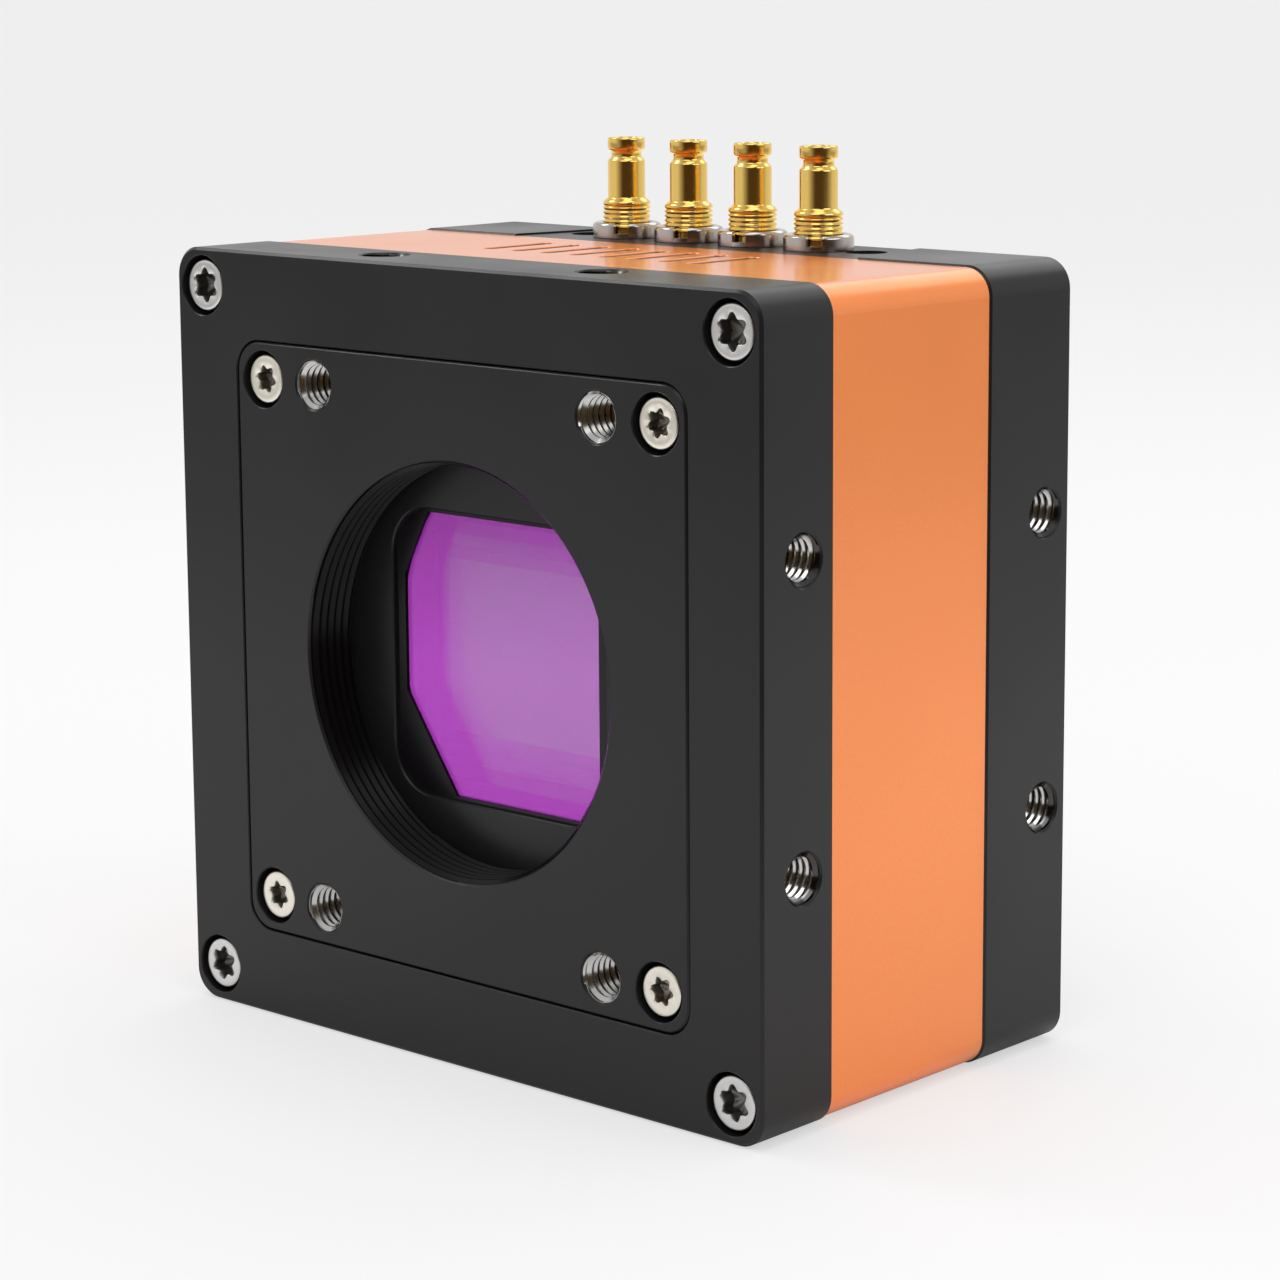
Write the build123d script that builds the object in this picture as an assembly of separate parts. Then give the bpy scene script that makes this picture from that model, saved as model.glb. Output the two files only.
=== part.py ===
from build123d import *
import math
import os

# Area scan camera body: black front plate with a threaded lens opening, anodised housing,
# black rear cover, four coaxial jacks on top and a sensor with its boards inside.
# Millimetres. +Z up, the lens looks along -Y, the origin is under the middle of the bottom face.

# Outer body
body_width = 80.0
body_height = 80.0
corner_radius = 3.0
front_plate_depth = 10.0
housing_depth = 23.7
rear_cover_depth = 13.4
housing_inset = 0.18
edge_break = 0.3
cover_edge_break = 0.45
cover_front_break = 0.3
rim_edge_break = 0.1

# Walls of the hollow parts
housing_wall = 3.0
back_wall = 3.0
corner_block = 12.0

# Clearances
seam = 0.15
slip = 0.3
screw_play = 0.2
thread_play = 0.05

# Lens mount plate
lens_plate_corner = 3.0
lens_plate_edge_break = 0.2
lens_flange_depth = 5.0
lens_boss_size = 46.0
lens_boss_corner = 3.0
lens_boss_depth = 4.6
lens_thread_radius = 21.0
lens_bore_depth = 6.0
lens_bore_chamfer = 0.2
window_size = 29.6
window_corner = 5.0
window_lip = 0.5
window_edge_break = 0.15
lens_seal_width = 0.8
lens_seal_depth = 0.6
lens_seal_margin = 0.3

# Octagonal light mask, filter glass and its gasket
mask_opening_width = 27.0
mask_opening_height = 28.8
mask_upper_cut_width = 3.4
mask_upper_cut_height = 6.5
mask_lower_cut_width = 7.0
mask_lower_cut_height = 10.0
mask_near_cut_width = 2.8
mask_near_cut_height = 4.2
mask_thickness = 0.2
glass_size = 32.4
glass_corner = 1.0
glass_thickness = 1.5
gasket_opening = 29.4

# Image sensor
flange_to_sensor = 12.0
sensor_package_width = 37.0
sensor_package_height = 34.0
sensor_package_floor = 1.3
sensor_lid_width = 31.0
sensor_lid_height = 27.0
sensor_lid_thickness = 0.7
sensor_lid_step = 1.6
sensor_air_gap = 0.9
die_width = 25.6
die_height = 20.4
die_thickness = 0.7

# Screws of the lens plate
lens_screw_clearance = 4.05
lens_screw_edge = 3.8
lens_screw_head_radius = 2.48
lens_screw_head_height = 2.2
lens_screw_radius = 1.25
lens_screw_length = 6.0
lens_screw_lobe = 2.8
lens_counterbore_radius = 2.95

# Screws that hold the front plate and the rear cover to the housing
body_screw_inset = 3.9
body_screw_head_radius = 2.65
body_screw_head_height = 2.8
body_screw_radius = 1.5
body_screw_grip = 7.0
body_screw_lobe = 3.6
body_counterbore_radius = 3.1
head_recess = 0.4
drive_depth = 1.3
drive_share = 0.7
head_chamfer_share = 0.08
lobe_bite_share = 0.175
lobe_core_share = 0.36

# Tapped mounting holes
mount_thread_radius = 2.5
mount_hole_chamfer = 0.2
front_hole_spacing_x = 39.0
side_hole_spacing = 30.0
side_hole_floor = 2.0
front_hole_setback = 5.9
rear_hole_setback = 4.1
rear_boss_wall = 1.2
rear_boss_width = 9.0
rear_boss_floor = 1.12

# Grooves in the top of the housing
groove_count = 8
groove_pitch = 4.05
groove_width = 1.5
groove_length = 9.8
groove_depth = 1.0
groove_edge_break = 0.2
groove_offset = 2.35

# Cooling grooves in the back
back_groove_count = 9
back_groove_pitch = 5.0
back_groove_width = 2.4
back_groove_length = 44.0
back_groove_depth = 1.2

# Gaskets between the body parts
gasket_width = 1.0
gasket_thickness = 0.8
gasket_margin = 1.65
gasket_cut = 10.8

# Connector panel in the top of the rear cover
panel_width = 47.4
panel_taper = 2.4
panel_offset = -0.5
panel_thickness = 3.0
panel_seam = 0.15
panel_screw_spacing = 38.4
panel_screw_setback = 6.2
panel_screw_head_radius = 1.75
panel_screw_head_height = 1.0
panel_screw_radius = 0.9
panel_screw_length = 6.0
panel_screw_recess = 0.9
panel_screw_hexagon = 1.7
panel_counterbore_radius = 2.15
ledge_inner = 17.6
ledge_outer = 28.0
ledge_thickness = 8.0

# Coaxial jacks
jack_count = 4
jack_pitch = 8.92
jack_setback = 6.8
jack_thread_radius = 2.65
jack_thread_top = 3.65
jack_cone_height = 0.7
jack_barrel_radius = 1.98
jack_barrel_height = 3.75
jack_shoulder_height = 0.5
jack_groove_radius = 1.6
jack_groove_height = 0.6
jack_head_slope = 0.3
jack_head_height = 1.4
jack_bore_radius = 1.15
jack_flange_radius = 3.6
jack_flange_height = 1.5
jack_tail_radius = 2.2
jack_tail_height = 3.5
jack_edge = 0.12
pin_radius = 0.5
pin_recess = 1.6
insulator_recess = 4.0
pin_tail = 0.5
nut_radius = 3.65
nut_height = 1.65
nut_chamfer = 0.2
nut_slot_width = 1.5
nut_slot_depth = 1.1
nut_slot_angles = (34.0, 28.0, 17.0, 34.0)

# Circuit boards
board_thickness = 1.6
board_edge = 4.3
board_headroom = 10.5
board_corner_cut = 3.0
stack_gap = 6.4
stack_clearance = 0.4
stack_spacing_z = 32.0
stack_screw_radius = 0.9
stack_screw_grip = 3.4
stack_screw_head_radius = 1.7
stack_screw_head_height = 1.3
stack_screw_hexagon = 1.7
spacer_radius = 1.8
mezzanine_length = 34.0
mezzanine_height = 5.0
mezzanine_edge = 7.5
mezzanine_wall = 1.2
mezzanine_engagement = 1.3

# Processor, memory, heat path
processor_size = 23.0
processor_substrate = 0.8
processor_lid = 1.6
processor_lid_size = 19.8
memory_length = 10.0
memory_width = 8.0
memory_height = 1.2
memory_offset_x = 20.0
memory_offset_z = 6.5
thermal_pad_thickness = 1.0
spreader_clearance = 2.25
spreader_thickness = 3.0

# Power board behind the heat spreader
power_board_width = 56.0
power_board_step = 8.5
power_gap = 3.5
power_spacing_x = 48.0
power_screw_edge = 4.0
power_screw_grip = 2.5
link_length = 25.4
link_height = 2.5
link_edge = 11.0
inductor_size = 7.3
inductor_height = 4.0
inductor_corner = 1.2
inductor_offset = 9.0
capacitor_radius = 3.15
capacitor_height = 4.6
capacitor_offset_x = 18.0
capacitor_offset_z = 6.0

# Jack board and its flat cable
jack_board_width = 34.4
jack_board_depth = 7.0
cable_width = 18.0
cable_thickness = 0.3
cable_bend = 2.0
cable_socket_length = 22.0
cable_socket_depth = 2.6
cable_socket_height = 3.0
cable_inlet_height = 1.5
cable_insertion = 1.8

# Places along the optical axis
axis_z = body_height / 2
front_y = -(front_plate_depth + housing_depth + rear_cover_depth) / 2
housing_y = front_y + front_plate_depth
cover_y = housing_y + housing_depth
back_y = cover_y + rear_cover_depth
ledge_y = front_y + lens_flange_depth
floor_y = front_y + lens_bore_depth
mask_y = floor_y + window_lip
glass_y = mask_y + mask_thickness
gasket_y = glass_y + glass_thickness
sensor_y = front_y + flange_to_sensor
package_y = sensor_y - sensor_air_gap - sensor_lid_thickness
die_back_y = sensor_y + die_thickness
sensor_board_y = die_back_y + sensor_package_floor
processor_board_y = sensor_board_y + board_thickness + stack_gap
processor_back_y = processor_board_y + board_thickness
lid_y = processor_back_y + processor_substrate
pad_y = lid_y + processor_lid
spreader_y = pad_y + thermal_pad_thickness
spreader_back_y = spreader_y + spreader_thickness
power_board_y = spreader_back_y + power_gap
power_back_y = power_board_y + board_thickness
cavity_back_y = back_y - back_wall
lens_head_y = front_y + head_recess + lens_screw_head_height
body_head_y = front_y + head_recess + body_screw_head_height
rear_head_y = back_y - head_recess - body_screw_head_height
lens_screw_end = lens_head_y + lens_screw_length

# Heights around the connector panel
panel_top_z = body_height - housing_inset
panel_bottom_z = panel_top_z - panel_thickness
flange_bottom_z = panel_bottom_z - jack_flange_height
jack_board_top_z = flange_bottom_z - jack_tail_height
jack_board_z = jack_board_top_z - board_thickness
jack_y = back_y - jack_setback
jack_top_z = (panel_top_z + jack_thread_top + jack_cone_height + jack_barrel_height
              + jack_shoulder_height + jack_groove_height + jack_head_height)

cable_z = jack_board_z - cable_socket_height
cable_run_z = cable_z - cable_inlet_height - cable_bend
cable_up_y = jack_y - pin_radius - slip - cable_socket_depth / 2

# Sizes that follow from others
housing_width = body_width - 2 * housing_inset
housing_height = body_height - 2 * housing_inset
body_screw_span = (body_width - 2 * body_screw_inset, body_height - 2 * body_screw_inset)
cavity_width = housing_width - 2 * housing_wall
cavity_height = housing_height - 2 * housing_wall

lens_screw_spacing = lens_boss_size + 2 * lens_screw_clearance
lens_plate_size = lens_screw_spacing + 2 * lens_screw_edge
lens_pocket_size = lens_plate_size + 2 * seam
side_hole_depth = (body_width - lens_pocket_size) / 2 - side_hole_floor
top_hole_depth = (body_height - lens_pocket_size) / 2 - side_hole_floor
rear_boss_reach = side_hole_depth + rear_boss_floor - (body_width - cavity_width) / 2

stack_spacing_x = lens_boss_size + 2 * (spacer_radius + stack_clearance)
board_width = stack_spacing_x + 2 * board_edge
board_height = body_height - 2 * board_headroom
mezzanine_offset = board_height / 2 - mezzanine_edge
link_offset = board_height / 2 - link_edge
spreader_height = 2 * link_offset - link_height - 2 * spreader_clearance
power_board_height = board_height - 2 * power_board_step
power_spacing_z = spreader_height - 2 * power_screw_edge
ledge_opening = lens_boss_size + 2 * slip
glass_pocket = glass_size + 2 * slip


def facing(y):
    # Work plane across the optical axis, seen from the front, X right and Z up
    return Plane((0, y, axis_z), x_dir=(1, 0, 0), z_dir=(0, -1, 0))


def slab(sketch, y0, y1):
    return extrude(facing(y0) * sketch, -(y1 - y0))


def rounded(width, height, radius):
    return RectangleRounded(width, height, radius) if radius > 0 else Rectangle(width, height)


def cut_corners(width, height, cut):
    outline = Rectangle(width, height)
    return chamfer(outline.vertices(), cut)


def discs(radius, points):
    return Sketch() + [Pos(x, z) * Circle(radius) for x, z in points]


def corners(width, height):
    return [(sx * width / 2, sz * height / 2) for sx in (-1, 1) for sz in (-1, 1)]


def outer_edges(solid, y):
    return solid.faces().filter_by(Axis.Y).group_by(Axis.Y)[0 if y < 0 else -1].edges()


def rim_edges(solid, axis, front):
    # Edges of the pockets and holes in the outermost flat face along the axis
    faces = solid.faces().filter_by(axis).group_by(axis)[0 if front else -1]
    return ShapeList([edge for face in faces for wire in face.inner_wires() for edge in wire.edges()])


def upright(radius, height, x, y, z):
    return Pos(x, y, z) * Cylinder(radius, height, align=(Align.CENTER, Align.CENTER, Align.MIN))


def block(width, depth, height, x, y, z):
    # Box centred in X, starting at y and z
    return Pos(x, y, z) * Box(width, depth, height, align=(Align.CENTER, Align.MIN, Align.MIN))


def six_lobe(across):
    # Six lobed driver recess: a disc with six round bites taken out of its edge
    bite = lobe_bite_share * across
    middle = lobe_core_share * across + bite
    return Circle(across / 2) - PolarLocations(middle, 6) * Circle(bite)


def hexagon(across):
    return RegularPolygon(across / 2, 6)


def drive_screw(head_radius, head_height, radius, length, drive):
    # Head top at z = 0, shank down
    head = Pos(0, 0, -head_height) * Cylinder(head_radius, head_height,
                                              align=(Align.CENTER, Align.CENTER, Align.MIN))
    head = chamfer(head.edges().group_by(Axis.Z)[-1], head_chamfer_share * head_radius)
    shank = Pos(0, 0, -head_height - length) * Cylinder(radius, length + head_height / 2,
                                                        align=(Align.CENTER, Align.CENTER, Align.MIN))
    recess = extrude(drive, -min(drive_depth, drive_share * head_height))
    return head + shank - recess


def screws_along_y(screw, points, y, toward_front):
    turn = Rotation(90, 0, 0) if toward_front else Rotation(-90, 0, 0)
    return [Pos(x, y, axis_z + z) * turn * screw for x, z in points]


def hole_mouth():
    # Chamfer tool for the mouth of a tapped hole whose face is at z = 0
    return Pos(0, 0, -mount_hole_chamfer) * Cone(mount_thread_radius,
                                                 mount_thread_radius + 2 * mount_hole_chamfer,
                                                 2 * mount_hole_chamfer,
                                                 align=(Align.CENTER, Align.CENTER, Align.MIN))


def tapped_hole(depth):
    return Cylinder(mount_thread_radius, depth, align=(Align.CENTER, Align.CENTER, Align.MAX)) + hole_mouth()


def side_holes(y, all_round):
    # Tapped holes in the sides, in pairs, with a small chamfer at the mouth
    tool = tapped_hole(side_hole_depth)
    cutters = []
    for s in (-1, 1):
        turn = Rotation(0, 90 * s, 0)
        for z in (-side_hole_spacing / 2, side_hole_spacing / 2):
            cutters.append(Pos(s * body_width / 2, y, axis_z + z) * turn * tool)
    if all_round:
        tool = tapped_hole(top_hole_depth)
        for x in (-side_hole_spacing / 2, side_hole_spacing / 2):
            cutters.append(Pos(x, y, body_height) * tool)
            cutters.append(Pos(x, y, 0) * Rotation(180, 0, 0) * tool)
    return cutters


def seal_ring():
    # Outline of the seal between two body parts, passing inside the corner screws
    width = body_width - 2 * gasket_margin + gasket_width
    height = body_height - 2 * gasket_margin + gasket_width
    outer = cut_corners(width, height, gasket_cut)
    inner_cut = gasket_cut - gasket_width * (2 - math.sqrt(2))
    return outer - cut_corners(width - 2 * gasket_width, height - 2 * gasket_width, inner_cut)


def front_plate():
    plate = slab(rounded(body_width, body_height, corner_radius), front_y, housing_y)
    plate = chamfer(outer_edges(plate, -1), edge_break)
    plate -= slab(rounded(lens_pocket_size, lens_pocket_size, lens_plate_corner + seam), front_y, ledge_y)
    body = corners(*body_screw_span)
    plate -= slab(discs(body_counterbore_radius, body), front_y, body_head_y)
    plate = chamfer(rim_edges(plate, Axis.Y, True), rim_edge_break)
    plate -= slab(rounded(ledge_opening, ledge_opening, lens_boss_corner + slip), ledge_y, housing_y)
    plate -= slab(seal_square(), ledge_y, ledge_y + lens_seal_depth)
    plate -= slab(discs(body_screw_radius + screw_play, body), front_y, housing_y)
    lens = corners(lens_screw_spacing, lens_screw_spacing)
    plate -= slab(discs(lens_screw_radius + thread_play, lens), ledge_y, lens_screw_end + 2 * thread_play)
    stack = corners(stack_spacing_x, stack_spacing_z)
    plate -= slab(discs(stack_screw_radius + thread_play, stack),
                  housing_y - stack_screw_grip - 2 * thread_play, housing_y)
    plate -= side_holes(front_y + front_hole_setback, True)
    plate -= slab(seal_ring(), housing_y - gasket_thickness, housing_y)
    return plate


def seal_square():
    inner = ledge_opening + 2 * lens_seal_margin
    outer = inner + 2 * lens_seal_width
    return rounded(outer, outer, lens_boss_corner + lens_seal_width) - rounded(inner, inner, lens_boss_corner)


def lens_mount_plate():
    plate = slab(rounded(lens_plate_size, lens_plate_size, lens_plate_corner), front_y, ledge_y)
    plate = chamfer(outer_edges(plate, -1), lens_plate_edge_break)
    lens = corners(lens_screw_spacing, lens_screw_spacing)
    plate -= slab(discs(lens_counterbore_radius, lens), front_y, lens_head_y)
    plate = chamfer(rim_edges(plate, Axis.Y, True), rim_edge_break)
    boss = rounded(lens_boss_size, lens_boss_size, lens_boss_corner)
    plate += slab(boss, ledge_y, ledge_y + lens_boss_depth)
    plate -= slab(Circle(lens_thread_radius), front_y, floor_y)
    rim = plate.edges().filter_by(GeomType.CIRCLE).group_by(Axis.Y)[0]
    rim = [e for e in rim if abs(e.radius - lens_thread_radius) < 1e-6]
    plate = chamfer(rim, lens_bore_chamfer)
    plate -= window_cutter()
    plate -= slab(rounded(glass_pocket, glass_pocket, glass_corner + slip), mask_y, ledge_y + lens_boss_depth)
    plate -= slab(discs(lens_screw_radius + screw_play, lens), front_y, ledge_y)
    taps = corners(front_hole_spacing_x, lens_screw_spacing)
    plate -= slab(discs(mount_thread_radius, taps), front_y, ledge_y)
    for x, z in taps:
        plate -= Pos(x, front_y, axis_z + z) * Rotation(90, 0, 0) * hole_mouth()
    return plate


def window_cutter():
    # Square window in the floor of the bore, with its edge broken
    window = slab(rounded(window_size, window_size, window_corner), floor_y, mask_y)
    wide = window_size + 2 * window_edge_break
    flare = loft([facing(floor_y) * rounded(wide, wide, window_corner + window_edge_break),
                  facing(floor_y + window_edge_break) * rounded(window_size, window_size, window_corner)])
    return window + flare


def octagon():
    # The opening is a rectangle with unequal corner cuts
    w, h = mask_opening_width / 2, mask_opening_height / 2
    return make_face(Polyline(
        (-w, h - mask_upper_cut_height), (-w + mask_upper_cut_width, h),
        (w - mask_upper_cut_width, h), (w, h - mask_upper_cut_height),
        (w, -h + mask_near_cut_height), (w - mask_near_cut_width, -h),
        (-w + mask_lower_cut_width, -h), (-w, -h + mask_lower_cut_height), close=True))


def filter_mask():
    return slab(rounded(glass_size, glass_size, glass_corner) - octagon(), mask_y, glass_y)


def filter_glass():
    return slab(rounded(glass_size, glass_size, glass_corner), glass_y, gasket_y)


def filter_gasket():
    ring = rounded(glass_size, glass_size, glass_corner)
    ring -= rounded(gasket_opening, gasket_opening, glass_corner)
    return slab(ring, gasket_y, package_y)


def sensor_package():
    body = slab(Rectangle(sensor_package_width, sensor_package_height), package_y, sensor_board_y)
    body -= slab(Rectangle(sensor_lid_width, sensor_lid_height), package_y, package_y + sensor_lid_thickness)
    inner = Rectangle(sensor_lid_width - 2 * sensor_lid_step, sensor_lid_height - 2 * sensor_lid_step)
    return body - slab(inner, package_y, die_back_y)


def sensor_cover_glass():
    lid = Rectangle(sensor_lid_width - 2 * seam, sensor_lid_height - 2 * seam)
    return slab(lid, package_y, package_y + sensor_lid_thickness)


def sensor_die():
    return slab(Rectangle(die_width, die_height), sensor_y, die_back_y)


def circuit_board(y):
    board = slab(cut_corners(board_width, board_height, board_corner_cut), y, y + board_thickness)
    stack = corners(stack_spacing_x, stack_spacing_z)
    return board - slab(discs(stack_screw_radius + screw_play, stack), y, y + board_thickness)


def spacers(y0, y1, spacing_x, spacing_z):
    ring = Circle(spacer_radius) - Circle(stack_screw_radius + screw_play)
    return [slab(Pos(x, z) * ring, y0, y1) for x, z in corners(spacing_x, spacing_z)]


def stack_screws():
    length = processor_back_y - housing_y + stack_screw_grip
    screw = drive_screw(stack_screw_head_radius, stack_screw_head_height, stack_screw_radius,
                        length, hexagon(stack_screw_hexagon))
    places = corners(stack_spacing_x, stack_spacing_z)
    return screws_along_y(screw, places, processor_back_y + stack_screw_head_height, False)


def mezzanine(width, height):
    return Pos(0, -mezzanine_offset) * Rectangle(width, height)


def sensor_board_connector():
    # Socket half: a long shroud with a slot in its mating face
    y1 = sensor_board_y + board_thickness + stack_gap / 2
    slot = mezzanine(mezzanine_length - 2 * mezzanine_wall, mezzanine_height - 2 * mezzanine_wall)
    body = slab(mezzanine(mezzanine_length, mezzanine_height), sensor_board_y + board_thickness, y1)
    return body - slab(slot, y1 - mezzanine_engagement - slip, y1)


def processor_board_connector():
    # Plug half: a base with a tongue that enters the socket
    y0 = processor_board_y - stack_gap / 2
    gap = mezzanine_wall + seam
    tongue = mezzanine(mezzanine_length - 2 * gap, mezzanine_height - 2 * gap)
    body = slab(mezzanine(mezzanine_length, mezzanine_height), y0, processor_board_y)
    return body + slab(tongue, y0 - mezzanine_engagement, y0)


def processor_chip():
    substrate = slab(Rectangle(processor_size, processor_size), processor_back_y, lid_y)
    return substrate + slab(Rectangle(processor_lid_size, processor_lid_size), lid_y, pad_y)


def thermal_pad():
    return slab(Rectangle(processor_lid_size, processor_lid_size), pad_y, spreader_y)


def memory_chips():
    chip = Rectangle(memory_length, memory_width)
    places = corners(2 * memory_offset_x, 2 * memory_offset_z)
    return [slab(Pos(x, z) * chip, processor_back_y, processor_back_y + memory_height) for x, z in places]


def heat_spreader():
    # A plate from side wall to side wall, so that the processor's heat reaches the housing
    plate = slab(Rectangle(cavity_width, spreader_height), spreader_y, spreader_back_y)
    holes = corners(power_spacing_x, power_spacing_z)
    plate -= slab(discs(stack_screw_radius + thread_play, holes),
                  spreader_back_y - power_screw_grip - 2 * thread_play, spreader_back_y)
    relief = corners(stack_spacing_x, stack_spacing_z)
    return plate - slab(discs(stack_screw_head_radius + slip, relief), spreader_y, spreader_back_y)


def power_board():
    outline = cut_corners(power_board_width, power_board_height, board_corner_cut)
    board = slab(outline, power_board_y, power_back_y)
    holes = corners(power_spacing_x, power_spacing_z)
    return board - slab(discs(stack_screw_radius + screw_play, holes), power_board_y, power_back_y)


def power_link_header():
    # Tall pin header that feeds the processor board, above the heat spreader
    return slab(Pos(0, link_offset) * Rectangle(link_length, link_height), processor_back_y, power_board_y)


def power_screws():
    length = power_back_y - spreader_back_y + power_screw_grip
    screw = drive_screw(stack_screw_head_radius, stack_screw_head_height, stack_screw_radius,
                        length, hexagon(stack_screw_hexagon))
    places = corners(power_spacing_x, power_spacing_z)
    return screws_along_y(screw, places, power_back_y + stack_screw_head_height, False)


def power_inductors():
    coil = rounded(inductor_size, inductor_size, inductor_corner)
    return [slab(Pos(x, 0) * coil, power_back_y, power_back_y + inductor_height)
            for x in (-inductor_offset, inductor_offset)]


def power_capacitors():
    places = corners(2 * capacitor_offset_x, 2 * capacitor_offset_z)
    return [slab(Pos(x, z) * Circle(capacitor_radius), power_back_y, power_back_y + capacitor_height)
            for x, z in places]


def middle_housing():
    body = slab(rounded(housing_width, housing_height, corner_radius - housing_inset), housing_y, cover_y)
    body -= slab(cut_corners(cavity_width, cavity_height, corner_block), housing_y, cover_y)
    posts = discs(body_screw_radius + thread_play, corners(*body_screw_span))
    reach = body_screw_grip + 2 * thread_play
    body -= slab(posts, housing_y, housing_y + reach)
    body -= slab(posts, cover_y - reach, cover_y)
    middle = (housing_y + cover_y) / 2 + groove_offset
    top = housing_height / 2 + axis_z
    for i in range(groove_count):
        x = (i - (groove_count - 1) / 2) * groove_pitch
        slot = Rotation(0, 0, 90) * SlotOverall(groove_length, groove_width)
        body -= extrude(Pos(x, middle, top) * slot, -groove_depth)
    return chamfer(rim_edges(body, Axis.Z, False), groove_edge_break)


def cover_shell():
    # Rear cover with its inner bosses and ledges, before the notch for the connector panel is cut
    outline = rounded(body_width, body_height, corner_radius)
    body = chamfer(outer_edges(slab(outline, cover_y, back_y), 1), cover_edge_break)
    body = chamfer(outer_edges(body, -1), cover_front_break)
    body -= slab(cut_corners(cavity_width, cavity_height, corner_block), cover_y, cavity_back_y)
    boss_start = back_y - rear_hole_setback - mount_thread_radius - rear_boss_wall
    for s in (-1, 1):
        middle = s * (cavity_width - rear_boss_reach) / 2
        for z in (-side_hole_spacing / 2, side_hole_spacing / 2):
            body += block(rear_boss_reach, cavity_back_y - boss_start, rear_boss_width,
                          middle, boss_start, axis_z + z - rear_boss_width / 2)
        body += block(ledge_outer - ledge_inner, cavity_back_y - cover_y - gasket_thickness, ledge_thickness,
                      panel_offset + s * (ledge_outer + ledge_inner) / 2, cover_y + gasket_thickness,
                      panel_bottom_z - ledge_thickness)
    return body


def panel_block(play, height):
    # The connector panel is narrower towards the back
    front, back = panel_width / 2 + play, panel_width / 2 - panel_taper + play
    outline = make_face(Polyline((-front, cover_y), (front, cover_y),
                                 (back, back_y), (-back, back_y), close=True))
    return extrude(Pos(panel_offset, 0, panel_bottom_z) * outline, height)


def rear_cover():
    body = cover_shell()
    body -= panel_block(panel_seam, 2 * panel_thickness)
    body -= block(2 * ledge_inner, cavity_back_y - cover_y, ledge_thickness + panel_thickness,
                  panel_offset, cover_y, panel_bottom_z - ledge_thickness)
    body -= side_holes(back_y - rear_hole_setback, False)
    places = corners(*body_screw_span)
    body -= slab(discs(body_screw_radius + screw_play, places), cover_y, back_y)
    body -= slab(discs(body_counterbore_radius, places), rear_head_y, back_y)
    body -= slab(seal_ring(), cover_y, cover_y + gasket_thickness)
    for x in panel_screw_places():
        depth = panel_screw_length - (panel_thickness - panel_screw_recess - panel_screw_head_height)
        depth += 2 * thread_play
        body -= upright(panel_screw_radius + thread_play, depth, x, back_y - panel_screw_setback,
                        panel_bottom_z - depth)
    for i in range(back_groove_count):
        x = (i - (back_groove_count - 1) / 2) * back_groove_pitch
        slot = Pos(x, 0) * Rotation(0, 0, 90) * SlotOverall(back_groove_length, back_groove_width)
        body -= slab(slot, back_y - back_groove_depth, back_y)
    return body


def connector_panel():
    panel = panel_block(0, panel_top_z - panel_bottom_z)
    top = panel.faces().sort_by(Axis.Z)[-1].edges().sort_by(Axis.Y)
    panel = chamfer(top[1:3], rim_edge_break)
    rear = panel.edges().group_by(Axis.Y)[-1].group_by(Axis.Z)[-1]
    panel = chamfer(rear, cover_edge_break)
    for x in jack_places():
        panel -= upright(jack_thread_radius + thread_play, panel_thickness, x, jack_y, panel_bottom_z)
    for x in panel_screw_places():
        y = back_y - panel_screw_setback
        panel -= upright(panel_screw_radius + screw_play, panel_thickness, x, y, panel_bottom_z)
        recess = panel_screw_recess + panel_screw_head_height
        panel -= upright(panel_counterbore_radius, recess, x, y, panel_top_z - recess)
    return panel - slab(seal_ring(), cover_y, cover_y + gasket_thickness)


def panel_screws():
    screw = drive_screw(panel_screw_head_radius, panel_screw_head_height, panel_screw_radius,
                        panel_screw_length, hexagon(panel_screw_hexagon))
    return [Pos(x, back_y - panel_screw_setback, panel_top_z - panel_screw_recess) * screw
            for x in panel_screw_places()]


def panel_screw_places():
    return [panel_offset + s * panel_screw_spacing / 2 for s in (-1, 1)]


def jack_places():
    return [panel_offset + (i - (jack_count - 1) / 2) * jack_pitch for i in range(jack_count)]


def coax_body():
    # Revolved profile of one jack, from its solder tail to the snap-on head
    z = [jack_board_top_z, flange_bottom_z, panel_bottom_z]
    thread_top = panel_top_z + jack_thread_top
    barrel_bottom = thread_top + jack_cone_height
    barrel_top = barrel_bottom + jack_barrel_height
    groove_bottom = barrel_top + jack_shoulder_height
    head_bottom = groove_bottom + jack_groove_height
    e = jack_edge
    outline = [
        (jack_bore_radius, z[0]), (jack_tail_radius, z[0]), (jack_tail_radius, z[1]),
        (jack_flange_radius, z[1]), (jack_flange_radius, z[2]), (jack_thread_radius, z[2]),
        (jack_thread_radius, thread_top), (jack_barrel_radius, barrel_bottom),
        (jack_barrel_radius, barrel_top), (jack_groove_radius, groove_bottom),
        (jack_groove_radius, head_bottom), (jack_barrel_radius, head_bottom + jack_head_slope),
        (jack_barrel_radius, jack_top_z - e), (jack_barrel_radius - e, jack_top_z),
        (jack_bore_radius + e, jack_top_z), (jack_bore_radius, jack_top_z - 2 * e)]
    profile = make_face(Plane.XZ * Polyline(*outline, close=True))
    return revolve(profile, Axis.Z)


def coax_insulator():
    height = jack_top_z - insulator_recess - jack_board_top_z
    return (upright(jack_bore_radius - thread_play, height, 0, 0, jack_board_top_z)
            - upright(pin_radius + thread_play, height, 0, 0, jack_board_top_z))


def coax_pin():
    bottom = jack_board_z - pin_tail
    pin = upright(pin_radius, jack_top_z - pin_recess - bottom, 0, 0, bottom)
    return chamfer(pin.edges().group_by(Axis.Z)[-1], pin_radius / 3)


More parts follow.
